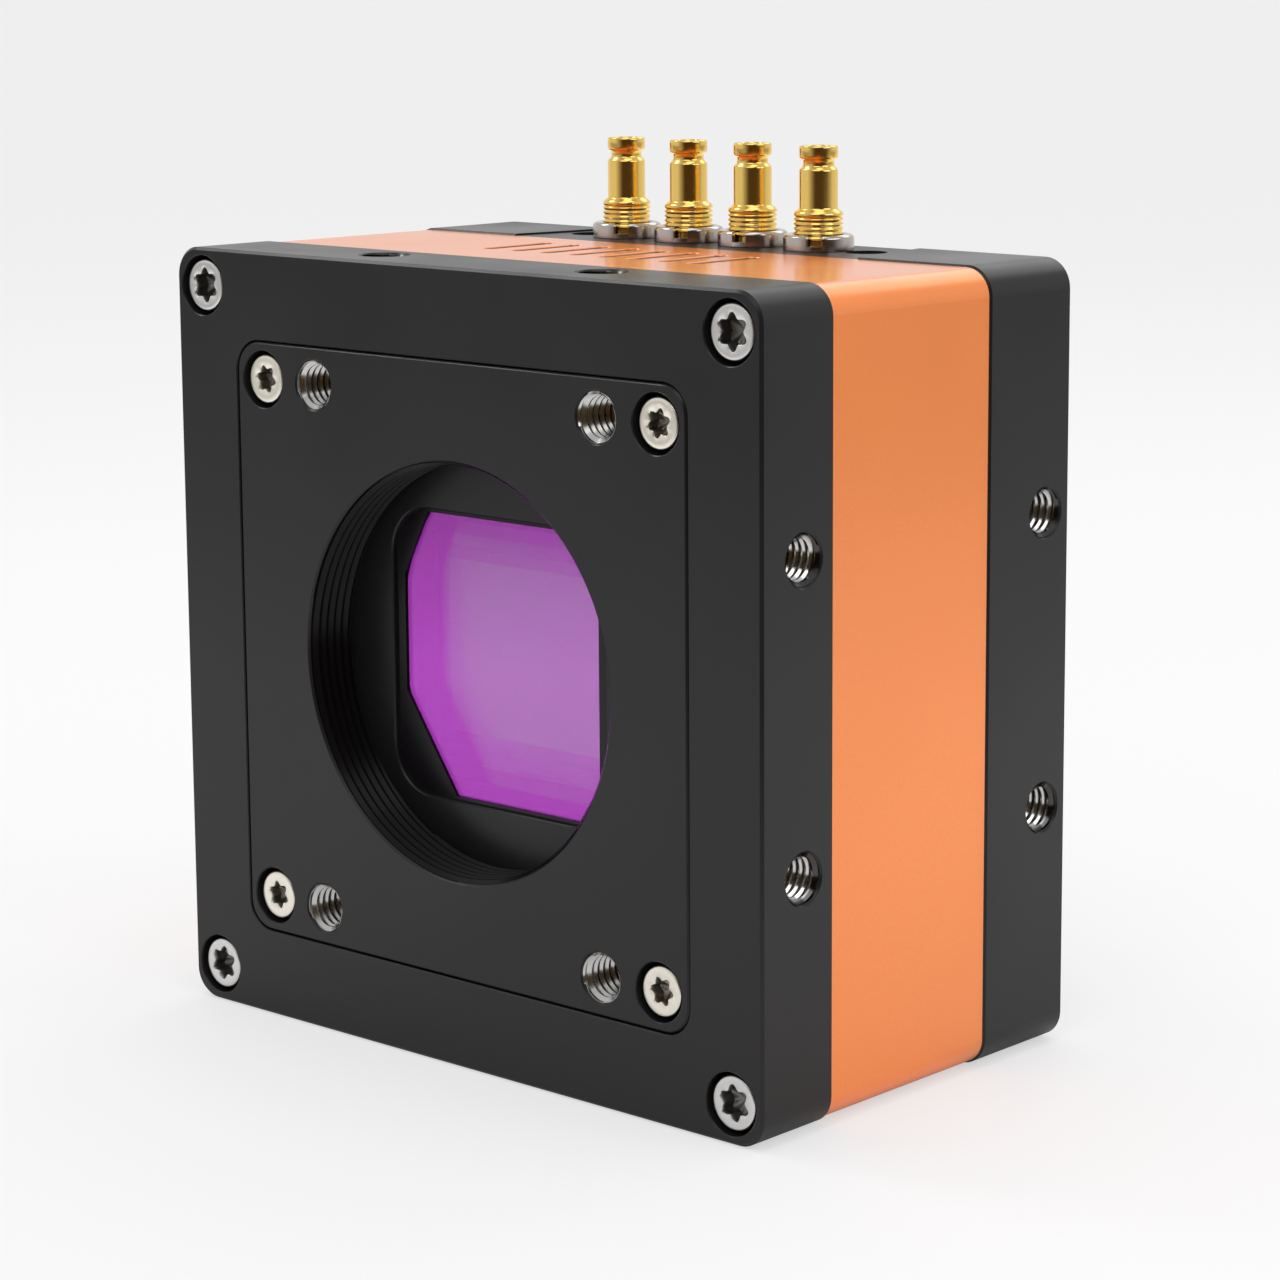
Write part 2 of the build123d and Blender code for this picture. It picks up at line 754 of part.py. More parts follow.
def coax_nut(angle):
    nut = Cylinder(nut_radius, nut_height, align=(Align.CENTER, Align.CENTER, Align.MIN))
    nut = chamfer(nut.edges().group_by(Axis.Z)[-1], nut_chamfer)
    nut -= Cylinder(jack_thread_radius + thread_play, 2 * nut_height)
    slot = Box(nut_slot_width, 2 * nut_radius + 1, nut_slot_depth,
               align=(Align.CENTER, Align.CENTER, Align.MIN))
    return nut - Rotation(0, 0, angle) * Pos(0, 0, nut_height - nut_slot_depth) * slot


def coax_nuts():
    angles = [nut_slot_angles[i % len(nut_slot_angles)] for i in range(jack_count)]
    return [Pos(x, jack_y, panel_top_z) * coax_nut(a) for x, a in zip(jack_places(), angles)]


def jack_board():
    board = block(jack_board_width, jack_board_depth, board_thickness,
                  panel_offset, jack_y - jack_board_depth / 2, jack_board_z)
    for x in jack_places():
        board -= upright(pin_radius + thread_play, board_thickness, x, jack_y, jack_board_z)
    return board


def processor_cable_socket():
    return block(cable_socket_length, cable_socket_depth, cable_socket_height, 0, processor_back_y,
                 cable_run_z - cable_socket_height / 2) - block(
        cable_width + 2 * seam, cable_insertion, cable_thickness + 2 * seam, 0,
        processor_back_y + cable_socket_depth - cable_insertion, cable_run_z - cable_thickness / 2 - seam)


def jack_cable_socket():
    socket = block(cable_socket_length, cable_socket_depth, cable_socket_height, 0,
                   cable_up_y - cable_socket_depth / 2, cable_z)
    return socket - block(cable_width + 2 * seam, cable_thickness + 2 * seam, cable_insertion, 0,
                          cable_up_y - cable_thickness / 2 - seam, cable_z)


def flat_cable():
    # Flat flexible cable: straight back from the processor board, one bend up to the jack board
    start = processor_back_y + cable_socket_depth - cable_insertion + seam
    path = FilletPolyline((0, start, cable_run_z), (0, cable_up_y, cable_run_z),
                          (0, cable_up_y, cable_z + cable_insertion - seam), radius=cable_bend)
    section = Plane((0, start, cable_run_z), x_dir=(1, 0, 0), z_dir=(0, 1, 0)) * Rectangle(cable_width,
                                                                                         cable_thickness)
    return sweep(section, path)


def save(name, shape):
    solids = []
    for item in (shape if isinstance(shape, list) else [shape]):
        solids += item.solids()
    export_step(solids[0] if len(solids) == 1 else Compound(children=solids), f"parts/{name}.step")
    print(name, len(solids), round(sum(s.volume for s in solids), 2))


os.makedirs("parts", exist_ok=True)
lens_screw = drive_screw(lens_screw_head_radius, lens_screw_head_height, lens_screw_radius,
                         lens_screw_length, six_lobe(lens_screw_lobe))
front_length = front_plate_depth - head_recess - body_screw_head_height + body_screw_grip
front_screw = drive_screw(body_screw_head_radius, body_screw_head_height, body_screw_radius,
                          front_length, six_lobe(body_screw_lobe))
rear_length = rear_cover_depth - head_recess - body_screw_head_height + body_screw_grip
rear_screw = drive_screw(body_screw_head_radius, body_screw_head_height, body_screw_radius,
                         rear_length, six_lobe(body_screw_lobe))
body_places = corners(*body_screw_span)

save("front_plate", front_plate())
save("front_plate_screws", screws_along_y(front_screw, body_places, front_y + head_recess, True))
save("lens_mount_plate", lens_mount_plate())
save("lens_plate_screws", screws_along_y(lens_screw, corners(lens_screw_spacing, lens_screw_spacing),
                                         front_y + head_recess, True))
save("lens_plate_seal", slab(seal_square(), ledge_y, ledge_y + lens_seal_depth))
save("filter_mask", filter_mask())
save("filter_glass", filter_glass())
save("filter_gasket", filter_gasket())
save("sensor_package", sensor_package())
save("sensor_cover_glass", sensor_cover_glass())
save("sensor_die", sensor_die())
save("sensor_board", circuit_board(sensor_board_y))
save("sensor_board_connector", sensor_board_connector())
save("sensor_board_spacers", spacers(housing_y, sensor_board_y, stack_spacing_x, stack_spacing_z))
save("processor_board", circuit_board(processor_board_y))
save("processor_board_connector", processor_board_connector())
save("processor_board_spacers", spacers(sensor_board_y + board_thickness, processor_board_y,
                                        stack_spacing_x, stack_spacing_z))
save("board_stack_screws", stack_screws())
save("processor_chip", processor_chip())
save("memory_chips", memory_chips())
save("thermal_pad", thermal_pad())
save("heat_spreader", heat_spreader())
save("power_board", power_board())
save("power_board_spacers", spacers(spreader_back_y, power_board_y, power_spacing_x, power_spacing_z))
save("power_board_screws", power_screws())
save("power_link_header", power_link_header())
save("power_inductors", power_inductors())
save("power_capacitors", power_capacitors())
save("middle_housing", middle_housing())
save("front_gasket", slab(seal_ring(), housing_y - gasket_thickness, housing_y))
save("rear_gasket", slab(seal_ring(), cover_y, cover_y + gasket_thickness))
save("rear_cover", rear_cover())
save("rear_cover_screws", screws_along_y(rear_screw, body_places, back_y - head_recess, False))
save("connector_panel", connector_panel())
save("panel_screws", panel_screws())
for number, x in enumerate(jack_places(), 1):
    save(f"coax_body_{number}", Pos(x, jack_y, 0) * coax_body())
    save(f"coax_insulator_{number}", Pos(x, jack_y, 0) * coax_insulator())
    save(f"coax_pin_{number}", Pos(x, jack_y, 0) * coax_pin())
save("coax_ring_nuts", coax_nuts())
save("jack_board", jack_board())
save("jack_cable_socket", jack_cable_socket())
save("processor_cable_socket", processor_cable_socket())
save("flat_cable", flat_cable())
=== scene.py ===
# %% [markdown]
# # Area scan camera: dressing the solid part in Blender
# The solids of the camera come in as a fixed frame, already at their true size and place.
# This lesson leaves the flat, well shaped plates as they are and gives them finishes, and it
# models again the small turned pieces that need smooth shading, threads and drive recesses.

import math

import bmesh
import bpy
from mathutils import Matrix, Vector


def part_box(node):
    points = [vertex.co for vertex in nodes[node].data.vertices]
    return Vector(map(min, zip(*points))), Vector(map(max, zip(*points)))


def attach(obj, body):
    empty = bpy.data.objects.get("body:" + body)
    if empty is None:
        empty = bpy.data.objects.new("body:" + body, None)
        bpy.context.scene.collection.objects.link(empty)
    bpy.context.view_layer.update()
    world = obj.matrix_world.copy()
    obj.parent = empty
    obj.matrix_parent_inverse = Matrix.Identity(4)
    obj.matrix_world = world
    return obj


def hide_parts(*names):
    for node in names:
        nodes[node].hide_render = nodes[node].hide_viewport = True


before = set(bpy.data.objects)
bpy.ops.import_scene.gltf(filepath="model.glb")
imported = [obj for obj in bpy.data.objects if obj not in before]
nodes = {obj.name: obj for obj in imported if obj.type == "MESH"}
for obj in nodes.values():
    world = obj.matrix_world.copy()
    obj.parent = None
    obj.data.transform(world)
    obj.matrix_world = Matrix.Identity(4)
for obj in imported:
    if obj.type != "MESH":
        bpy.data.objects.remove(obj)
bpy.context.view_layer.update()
MM = 0.001
print("nodes in the frame:", len(nodes))

# %% [markdown]
# ## Places that every piece shares
# The lens looks along minus Y and the origin is under the middle of the body. The heights and
# depths below are read from the nodes' own boxes, so the dressing follows the solids.

# %% Read the main places from the frame
FRONT_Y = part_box("front_plate")[0].y
BACK_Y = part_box("rear_cover")[1].y
BODY_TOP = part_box("front_plate")[1].z
HALF_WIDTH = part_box("front_plate")[1].x
AXIS = Vector((0, FRONT_Y, BODY_TOP / 2))
print("front at", round(FRONT_Y / MM, 2), "back at", round(BACK_Y / MM, 2), "top at", BODY_TOP / MM)

# %% [markdown]
# ## The camera
# The photograph was taken from the right and slightly above with a long lens. A long lens keeps
# the vertical edges nearly parallel. The object stood a little off the middle of the lens's own
# field, so the camera keeps a small shift instead of a turn, which would tip those edges.

# %% Place the camera
AZIMUTH, ELEVATION, ROLL = math.radians(40.85), math.radians(9.63), math.radians(-0.06)
DISTANCE = 319.37 * MM
AIM = Vector((39.77 * MM, FRONT_Y, BODY_TOP / 2 + 15.78 * MM))
IMAGE_SIDE, FOCAL_PIXELS, CENTRE_X, CENTRE_Y = 1280, 3545.45, 760, 560
SENSOR_WIDTH = 36


def place_camera():
    """Turns, places and shifts the camera. Its place counts back from the point that it aims at."""
    backward = Vector((math.sin(AZIMUTH) * math.cos(ELEVATION),
                       -math.cos(AZIMUTH) * math.cos(ELEVATION), math.sin(ELEVATION)))
    right = Vector((math.cos(AZIMUTH), math.sin(AZIMUTH), 0))
    up = backward.cross(right)
    turned_right = math.cos(ROLL) * right + math.sin(ROLL) * up
    turned_up = math.cos(ROLL) * up - math.sin(ROLL) * right
    bpy.ops.object.camera_add()
    camera = bpy.context.active_object
    camera.name = "photo_camera"
    turn = Matrix((turned_right, turned_up, backward)).transposed()
    camera.matrix_world = Matrix.Translation(AIM + DISTANCE * backward) @ turn.to_4x4()
    camera.data.sensor_width = SENSOR_WIDTH
    camera.data.lens = FOCAL_PIXELS / IMAGE_SIDE * SENSOR_WIDTH
    camera.data.shift_x = (IMAGE_SIDE / 2 - CENTRE_X) / IMAGE_SIDE
    camera.data.shift_y = (CENTRE_Y - IMAGE_SIDE / 2) / IMAGE_SIDE
    camera.data.clip_start = 0.01
    bpy.context.scene.camera = camera
    return camera


camera = place_camera()
print("lens in mm:", round(camera.data.lens, 1))
print("shift in image widths:", round(camera.data.shift_x, 3), round(camera.data.shift_y, 3))

# %% [markdown]
# ## Small helpers for modelling
# An operator works on whatever is selected, and a fresh import is selected all over. So each
# piece starts by clearing the selection, and afterwards gets its name, its smooth faces and
# its place in the mesh itself.

# %% Helpers that select, name and finish
MERGE_WITHIN = 0.0005 * MM


def clear_selection():
    if bpy.context.object and bpy.context.object.mode != "OBJECT":
        bpy.ops.object.mode_set(mode="OBJECT")
    bpy.ops.object.select_all(action="DESELECT")


def named(name):
    piece = bpy.context.active_object
    piece.name = name
    piece.data.name = name
    return piece


def select_only(piece):
    clear_selection()
    piece.select_set(True)
    bpy.context.view_layer.objects.active = piece


def close_up(piece, smooth_angle=30):
    """Merges doubles, turns the faces outwards and smooths everything but the sharp edges."""
    select_only(piece)
    bpy.ops.object.mode_set(mode="EDIT")
    bpy.ops.mesh.select_all(action="SELECT")
    bpy.ops.mesh.remove_doubles(threshold=MERGE_WITHIN)
    bpy.ops.mesh.normals_make_consistent(inside=False)
    bpy.ops.object.mode_set(mode="OBJECT")
    bpy.ops.object.shade_smooth_by_angle(angle=math.radians(smooth_angle))
    return piece


def copy_at(piece, name, matrix):
    """A copy with its own mesh, moved by the matrix inside that mesh."""
    copy = piece.copy()
    copy.data = piece.data.copy()
    copy.data.transform(matrix)
    copy.name = copy.data.name = name
    bpy.context.scene.collection.objects.link(copy)
    return copy


# Turns that carry a piece from upright to each face of the body: its top then looks out of that face
LOOK = {"front": Matrix.Rotation(math.radians(90), 4, "X"),
        "back": Matrix.Rotation(math.radians(-90), 4, "X"),
        "right": Matrix.Rotation(math.radians(90), 4, "Y"),
        "left": Matrix.Rotation(math.radians(-90), 4, "Y"),
        "top": Matrix.Identity(4),
        "bottom": Matrix.Rotation(math.radians(180), 4, "X")}
print("faces that a piece can look out of:", ", ".join(LOOK))

# %% [markdown]
# ## Turned pieces: an outline and a spin
# Jacks, nuts and screw heads are made on a lathe. In Blender the same is one outline, drawn by
# extruding a single vertex from point to point, and one spin of 360 degrees about the axis.
# Bright metal shows every facet, so the spin takes many steps.

# %% Draw an outline and spin it


def draw_outline(name, points):
    """A chain of edges through (radius, height) points in millimetres, by extruding a vertex."""
    clear_selection()
    bpy.ops.mesh.primitive_plane_add(size=MM)
    piece = named(name)
    bpy.ops.object.mode_set(mode="EDIT")
    bpy.ops.mesh.merge(type="CENTER")
    here = Vector((0, 0, 0))
    for number, (radius, height) in enumerate(points):
        there = Vector((radius * MM, 0, height * MM))
        if number == 0:
            bpy.ops.transform.translate(value=there - here)
        else:
            bpy.ops.mesh.extrude_region_move(TRANSFORM_OT_translate={"value": there - here})
        here = there
    return piece


def turned(name, points, steps=96, smooth_angle=30):
    """A closed piece made on the lathe. Its last point meets its first, or both lie on the axis."""
    piece = draw_outline(name, points)
    bpy.ops.mesh.select_all(action="SELECT")
    bpy.ops.mesh.spin(steps=steps, angle=math.tau, center=(0, 0, 0), axis=(0, 0, 1))
    bpy.ops.object.mode_set(mode="OBJECT")
    return close_up(piece, smooth_angle)


# %% [markdown]
# ## Threads: an outline and the Screw modifier
# A thread is one tooth that climbs as it goes round. The Screw modifier does that: each turn
# lifts the tooth by one pitch, and several turns stack up. The ends are then trimmed with
# Bisect, as a tap leaves a clean mouth, and Solidify gives the sleeve a closed wall.

# %% Cut a thread
SLEEVE_WALL = 0.03 * MM
SPARE_TURNS = 2


def tooth(root, crest, pitch):
    """One tooth from root to crest and back over one pitch, with small flats at both."""
    return [(root, 0), (root, 0.125 * pitch), (crest, 0.42 * pitch), (crest, 0.62 * pitch), (root, pitch)]


def bisect(piece, height, keep_below):
    """Cuts a piece level at this height and drops what lies on the other side."""
    select_only(piece)
    bpy.ops.object.mode_set(mode="EDIT")
    bpy.ops.mesh.select_all(action="SELECT")
    bpy.ops.mesh.bisect(plane_co=(0, 0, height * MM), plane_no=(0, 0, 1),
                        clear_outer=keep_below, clear_inner=not keep_below)
    bpy.ops.object.mode_set(mode="OBJECT")


def lead_in(piece, root, mouth):
    """Widens the first crests to a 45 degree cone, as the countersink leaves them."""
    for vertex in piece.data.vertices:
        radius = math.hypot(vertex.co.x, vertex.co.y)
        cone = min(root * MM, (root - mouth) * MM + (vertex.co.z + 2 * mouth * MM))
        if radius < cone:
            vertex.co.x *= cone / radius
            vertex.co.y *= cone / radius


def threaded_sleeve(name, root, crest, pitch, depth, mouth, steps):
    """An inside thread from z = -mouth down to z = -depth, in a thin closed sleeve."""
    piece = draw_outline(name, tooth(root, crest, pitch))
    bpy.ops.object.mode_set(mode="OBJECT")
    turns = math.ceil(depth / pitch) + SPARE_TURNS
    screw = piece.modifiers.new("thread", "SCREW")
    screw.screw_offset = pitch * MM
    screw.iterations = turns
    screw.steps = screw.render_steps = steps
    screw.use_merge_vertices = False
    bpy.ops.object.modifier_apply(modifier=screw.name)
    piece.data.transform(Matrix.Translation((0, 0, -(turns - 1) * pitch * MM)))
    close_up(piece)
    bisect(piece, -mouth, True)
    lead_in(piece, root, mouth)
    bisect(piece, -depth, False)
    wall = piece.modifiers.new("wall", "SOLIDIFY")
    wall.thickness = SLEEVE_WALL
    wall.offset = 0
    bpy.ops.object.modifier_apply(modifier=wall.name)
    return close_up(piece, 40)


# %% [markdown]
# ## Writing node trees in code
# A node tree in code is a long row of lines that add a node, set a value or join two sockets. A
# few helpers keep it short: each adds one node, takes plain numbers or other nodes' outputs,
# and hands back its own output, so that a calculation reads from the inside out.

# %% Helpers that add and join nodes


def add_node(tree, kind, **settings):
    """A node of this kind. A setting is a property, or a socket when it is written as in_NAME."""
    node = tree.nodes.new(kind)
    for key, value in settings.items():
        if key.startswith("in_"):
            node.inputs[key[3:].replace("_", " ")].default_value = value
        else:
            setattr(node, key, value)
    return node


def join(tree, *pairs):
    for start, end in pairs:
        tree.links.new(start, end)


def feed(tree, value, socket):
    """Writes a number or a colour into a socket, or joins another node's output to it."""
    if isinstance(value, (int, float, tuple)):
        socket.default_value = value
    else:
        join(tree, (value, socket))


def calculate(tree, operation, *values):
    """One Math node."""
    node = add_node(tree, "ShaderNodeMath", operation=operation)
    for value, socket in zip(values, node.inputs):
        feed(tree, value, socket)
    return node.outputs[0]


def on_vector(tree, operation, source, other=None):
    """One Vector Math node on a vector and, where it takes two, a fixed second one."""
    node = add_node(tree, "ShaderNodeVectorMath", operation=operation)
    join(tree, (source, node.inputs[0]))
    if other:
        node.inputs[1].default_value = other
    return node.outputs["Value" if operation in ("DOT_PRODUCT", "LENGTH") else "Vector"]


def scaled(tree, colour, factor):
    """A colour times a value that changes from place to place."""
    node = add_node(tree, "ShaderNodeVectorMath", operation="SCALE")
    feed(tree, colour, node.inputs[0])
    join(tree, (factor, node.inputs["Scale"]))
    return node.outputs[0]


def coordinates(tree, kind="Object"):
    return add_node(tree, "ShaderNodeTexCoord").outputs[kind]


# %% [markdown]
# ## Ranges and mixes
# Most finishes carry one range of values to another: a noise to a slight change of tone, or a
# height to a mask from zero to one. A mask then mixes two colours or two shaders.

# %% Helpers for ranges and mixes


def spread(tree, source, low, high, new_low, new_high):
    """Carries a value from one range to another and keeps it inside."""
    node = add_node(tree, "ShaderNodeMapRange", in_From_Min=low, in_From_Max=high)
    join(tree, (source, node.inputs["Value"]))
    feed(tree, new_low, node.inputs["To Min"])
    feed(tree, new_high, node.inputs["To Max"])
    return node.outputs["Result"]


def colour_mix(tree, factor, first, second):
    node = add_node(tree, "ShaderNodeMix", data_type="RGBA")
    for label, value in (("Factor", factor), ("A", first), ("B", second)):
        feed(tree, value, node.inputs[label])
    return node.outputs["Result"]


def shader_mix(tree, factor, first, second):
    node = add_node(tree, "ShaderNodeMixShader")
    join(tree, (factor, node.inputs["Fac"]), (first.outputs[0], node.inputs[1]),
         (second.outputs[0], node.inputs[2]))
    return node


# %% [markdown]
# ## Finishes as node groups
# Both the black plates and the orange housing are blasted with fine beads before they are
# anodised. That leaves a grain of about a fifth of a millimetre, a slight drift of tone, and
# a roughness that varies from place to place. One node group makes those three, and each
# material places it with its own amounts.

# %% Build the blasted grain group
GRAIN_SCALE, DRIFT_SCALE = 4200.0, 55.0
NOISE_RANGE = (0.3, 0.7)
DRIFT_SHARE = 0.6


def new_group(name, inputs, outputs):
    group = bpy.data.node_groups.new(name, "ShaderNodeTree")
    for label, kind, value in inputs:
        socket = group.interface.new_socket(label, in_out="INPUT", socket_type=kind)
        socket.default_value = value
    for label, kind in outputs:
        group.interface.new_socket(label, in_out="OUTPUT", socket_type=kind)
    return group, group.nodes.new("NodeGroupInput"), group.nodes.new("NodeGroupOutput")


def build_grain():
    """Tone, roughness and height of a blasted surface, from Object coordinates."""
    tree, given, out = new_group(
        "blasted_grain",
        [("Grain Scale", "NodeSocketFloat", GRAIN_SCALE), ("Tone Drift", "NodeSocketFloat", 0.06),
         ("Roughness", "NodeSocketFloat", 0.4), ("Roughness Drift", "NodeSocketFloat", 0.05)],
        [("Tone", "NodeSocketFloat"), ("Roughness", "NodeSocketFloat"), ("Height", "NodeSocketFloat")])
    place = coordinates(tree)
    grain = add_node(tree, "ShaderNodeTexNoise", in_Detail=3.0)
    drift = add_node(tree, "ShaderNodeTexNoise", in_Scale=DRIFT_SCALE, in_Detail=2.0)
    join(tree, (place, grain.inputs["Vector"]), (place, drift.inputs["Vector"]),
         (given.outputs["Grain Scale"], grain.inputs["Scale"]))
    both = calculate(tree, "MULTIPLY_ADD", drift.outputs["Fac"], DRIFT_SHARE,
                     spread(tree, grain.outputs["Fac"], *NOISE_RANGE, 0.0, 1 - DRIFT_SHARE))
    tones = [calculate(tree, sign, 1.0, given.outputs["Tone Drift"]) for sign in ("SUBTRACT", "ADD")]
    polish = [calculate(tree, sign, given.outputs["Roughness"], given.outputs["Roughness Drift"])
              for sign in ("SUBTRACT", "ADD")]
    join(tree, (spread(tree, both, 0.25, 0.75, *tones), out.inputs["Tone"]),
         (spread(tree, drift.outputs["Fac"], *NOISE_RANGE, *polish), out.inputs["Roughness"]),
         (grain.outputs["Fac"], out.inputs["Height"]))
    return tree


blasted_grain = build_grain()
print("grain group inputs:", [s.name for s in blasted_grain.interface.items_tree if s.in_out == "INPUT"])

# %% [markdown]
# ## Machined metal
# Screws, nuts and jacks are turned from bar. The tool leaves very fine rings, and handling
# adds a slight drift in polish. Noise that is stretched along the turning direction would need
# each piece's own axis, so a plain fine noise with little strength stands for both.

# %% The two helpers that make materials


def new_material(name, colour, metallic=0.0, **settings):
    material = bpy.data.materials.new(name)
    material.use_nodes = True
    shader = material.node_tree.nodes["Principled BSDF"]
    shader.inputs["Base Color"].default_value = (*colour, 1)
    shader.inputs["Metallic"].default_value = metallic
    for key, value in settings.items():
        shader.inputs[key.replace("_", " ")].default_value = value
    return material, material.node_tree, shader


def grained(name, colour, metallic, roughness, grain=GRAIN_SCALE, tone=0.06, drift=0.05, bump=0.1,
            depth=0.004, **settings):
    """A metal or plastic whose tone, polish and surface come from the blasted grain group."""
    material, tree, shader = new_material(name, colour, metallic, **settings)
    group = add_node(tree, "ShaderNodeGroup")
    group.node_tree = blasted_grain
    for label, value in (("Grain Scale", grain), ("Tone Drift", tone), ("Roughness", roughness),
                         ("Roughness Drift", drift)):
        group.inputs[label].default_value = value
    relief = add_node(tree, "ShaderNodeBump", in_Strength=bump, in_Distance=depth * MM)
    join(tree, (scaled(tree, colour, group.outputs["Tone"]), shader.inputs["Base Color"]),
         (group.outputs["Roughness"], shader.inputs["Roughness"]),
         (group.outputs["Height"], relief.inputs["Height"]), (relief.outputs["Normal"], shader.inputs["Normal"]))
    return material


# %% [markdown]
# ## Colour that changes with place
# Some colours differ from place to place, such as painted shade where a recess holds less light.
# Every piece sits at the origin, so Object coordinates say where a point lies in the whole camera,
# and a mask made from them can scale the colour there.

# %% Helpers for masks by place


def object_place(tree):
    """The X, Y and Z outputs of a point's own place in the frame."""
    split = add_node(tree, "ShaderNodeSeparateXYZ")
    join(tree, (coordinates(tree), split.inputs[0]))
    return split.outputs


def away_from(tree, source, middle=0.0):
    """How far a value lies from the middle, on either side."""
    return calculate(tree, "ABSOLUTE", calculate(tree, "SUBTRACT", source, middle))


def scale_colour(material, factor):
    """Multiplies a material's colour by a value that changes from place to place."""
    base = material.node_tree.nodes["Principled BSDF"].inputs["Base Color"]
    changed = scaled(material.node_tree, base.links[0].from_socket, factor)
    join(material.node_tree, (changed, base))


# %% [markdown]
# ## Handing a finish over
# A solid of the frame keeps its mesh and only gets a material. A new piece also rides on the
# camera's one body, and the solids it stands for are hidden.

# %% Helpers that finish a solid or a new piece


def finish_node(node, material):
    """Gives a solid of the frame its material, in every slot it has."""
    slots = nodes[node].data.materials
    if not slots:
        slots.append(material)
    for number in range(len(slots)):
        slots[number] = material


def finish_piece(piece, material, slot, *replaced):
    """A new piece gets its material, rides on the body and hides the solids it stands for."""
    piece.data.materials.clear()
    piece.data.materials.append(material)
    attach(piece, "root")
    if replaced:
        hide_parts(*replaced)
    return piece


# %% [markdown]
# ## The anodised body
# Black anodising is a thin dark oxide over aluminium: dull and dark when seen straight on, and
# pale at a grazing angle, because its skin is smooth. That is a dark base with a plain
# specular layer. The orange is a clear dye in a glossy skin, so two thirds of its colour come
# from the metal under it, and a coat on top shows the jacks as soft streaks. The milled grooves
# in its top get painted shade by place: below the edge break their walls are painted a darker orange.

# %% Make the body materials
black_anodised = grained("black_anodised", (0.009, 0.0085, 0.0095), 0.0, 0.34, tone=0.1, bump=0.2,
                         Specular_IOR_Level=0.37)
orange_anodised = grained("orange_anodised", (1.0, 0.29, 0.07), 0.68, 0.37, tone=0.035, bump=0.12,
                          Coat_Weight=0.6, Coat_Roughness=0.15, Coat_IOR=1.5)
for node in ("front_plate", "lens_mount_plate", "rear_cover", "connector_panel"):
    finish_node(node, black_anodised)
finish_node("middle_housing", orange_anodised)
HOUSING_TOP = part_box("middle_housing")[1].z
# The band of groove walls that gets painted shade, its reach across the top, and how dark it is painted.
GROOVE_LOW, GROOVE_HIGH = HOUSING_TOP - 1.1 * MM, HOUSING_TOP - 0.07 * MM
GROOVE_REACH, GROOVE_SHADE_SHARE = 17 * MM, 0.14


def paint_groove_shade(material):
    """Painted shade in the milled grooves: their walls below the edge break are painted a darker orange."""
    tree = material.node_tree
    place = object_place(tree)
    below = spread(tree, place["Z"], GROOVE_HIGH - 0.03 * MM, GROOVE_HIGH + 0.01 * MM, 1.0, 0.0)
    above = spread(tree, place["Z"], GROOVE_LOW - 0.1 * MM, GROOVE_LOW, 0.0, 1.0)
    inside = spread(tree, away_from(tree, place["X"]), GROOVE_REACH, GROOVE_REACH + 0.5 * MM, 1.0, 0.0)
    wall = calculate(tree, "MULTIPLY", calculate(tree, "MULTIPLY", below, inside), above)
    # Painted shade: the colour of the groove walls is scaled down here.
    scale_colour(material, spread(tree, wall, 0.0, 1.0, 1.0, GROOVE_SHADE_SHARE))


paint_groove_shade(orange_anodised)
print("body materials:", black_anodised.name, orange_anodised.name)

# %% [markdown]
# ## Screws with a six lobed recess
# The head starts as a circle. Each further loop is extruded from the last one: up the side,
# over a small edge break, in to the recess, where the loop takes the star shape, and down its
# wall to a shallow cone left by the punch. One head is modelled for each size.

# %% Model a screw from loops
LOOP = 120
CORE_SHARE, LOBE_ROUNDING, RECESS_BREAK = 0.72, 0.95, 0.09


def lobe_radius(angle, core, tip):
    """Radius of a six lobed star: rounded tips and rounded valleys between core and tip."""
    wave = 0.5 + 0.5 * math.cos(6 * angle)
    return core + (tip - core) * wave ** LOBE_ROUNDING


def next_loop(piece, height, radius_at):
    """Extrudes the selected loop and puts the new one at this height and radius, in millimetres."""
    bpy.ops.mesh.extrude_region_move(TRANSFORM_OT_translate={"value": (0, 0, 0)})
    mesh = bmesh.from_edit_mesh(piece.data)
    for vertex in [v for v in mesh.verts if v.select]:
        angle = math.atan2(vertex.co.y, vertex.co.x)
        radius = radius_at(angle) * MM
        vertex.co = Vector((radius * math.cos(angle), radius * math.sin(angle), height * MM))
    bmesh.update_edit_mesh(piece.data)


def lobed_screw(name, head, head_height, shank, length, tip, depth):
    """Head top at z = 0 and shank downwards, closed at both ends."""
    core = CORE_SHARE * tip
    clear_selection()
    bpy.ops.mesh.primitive_circle_add(vertices=LOOP, radius=shank * MM, fill_type="NGON",
                                      location=(0, 0, -(head_height + length) * MM))
    piece = named(name)
    bpy.ops.object.transform_apply(location=True)
    bpy.ops.object.mode_set(mode="EDIT")
    bpy.ops.mesh.select_all(action="SELECT")
    bpy.ops.mesh.region_to_loop()
    circles = [(-head_height, shank), (-head_height, head), (-0.22, head), (-0.13, head - 0.02),
               (-0.05, head - 0.08), (0, head - 0.2), (0, (head + tip) / 2)]
    for height, radius in circles:
        next_loop(piece, height, lambda angle, r=radius: r)
    stars = [(0, 1 + RECESS_BREAK), (-0.03, 1 + 0.4 * RECESS_BREAK), (-0.1, 1.0), (-0.55 * depth, 0.97),
             (-depth, 0.92), (-depth - 0.12, 0.8)]
    for height, share in stars:
        next_loop(piece, height, lambda angle, s=share: s * lobe_radius(angle, core, tip))
    next_loop(piece, -depth - 0.42, lambda angle: 0.25 * tip)
    bpy.ops.mesh.merge(type="CENTER")
    bpy.ops.object.mode_set(mode="OBJECT")
    return close_up(piece, 35)


outer_screw = lobed_screw("outer_screw", head=2.65, head_height=2.8, shank=1.5, length=13.0,
                          tip=1.8, depth=1.5)
inner_screw = lobed_screw("inner_screw", head=2.48, head_height=2.2, shank=1.25, length=6.0,
                          tip=1.42, depth=1.25)
print("faces of one screw:", len(outer_screw.data.polygons))
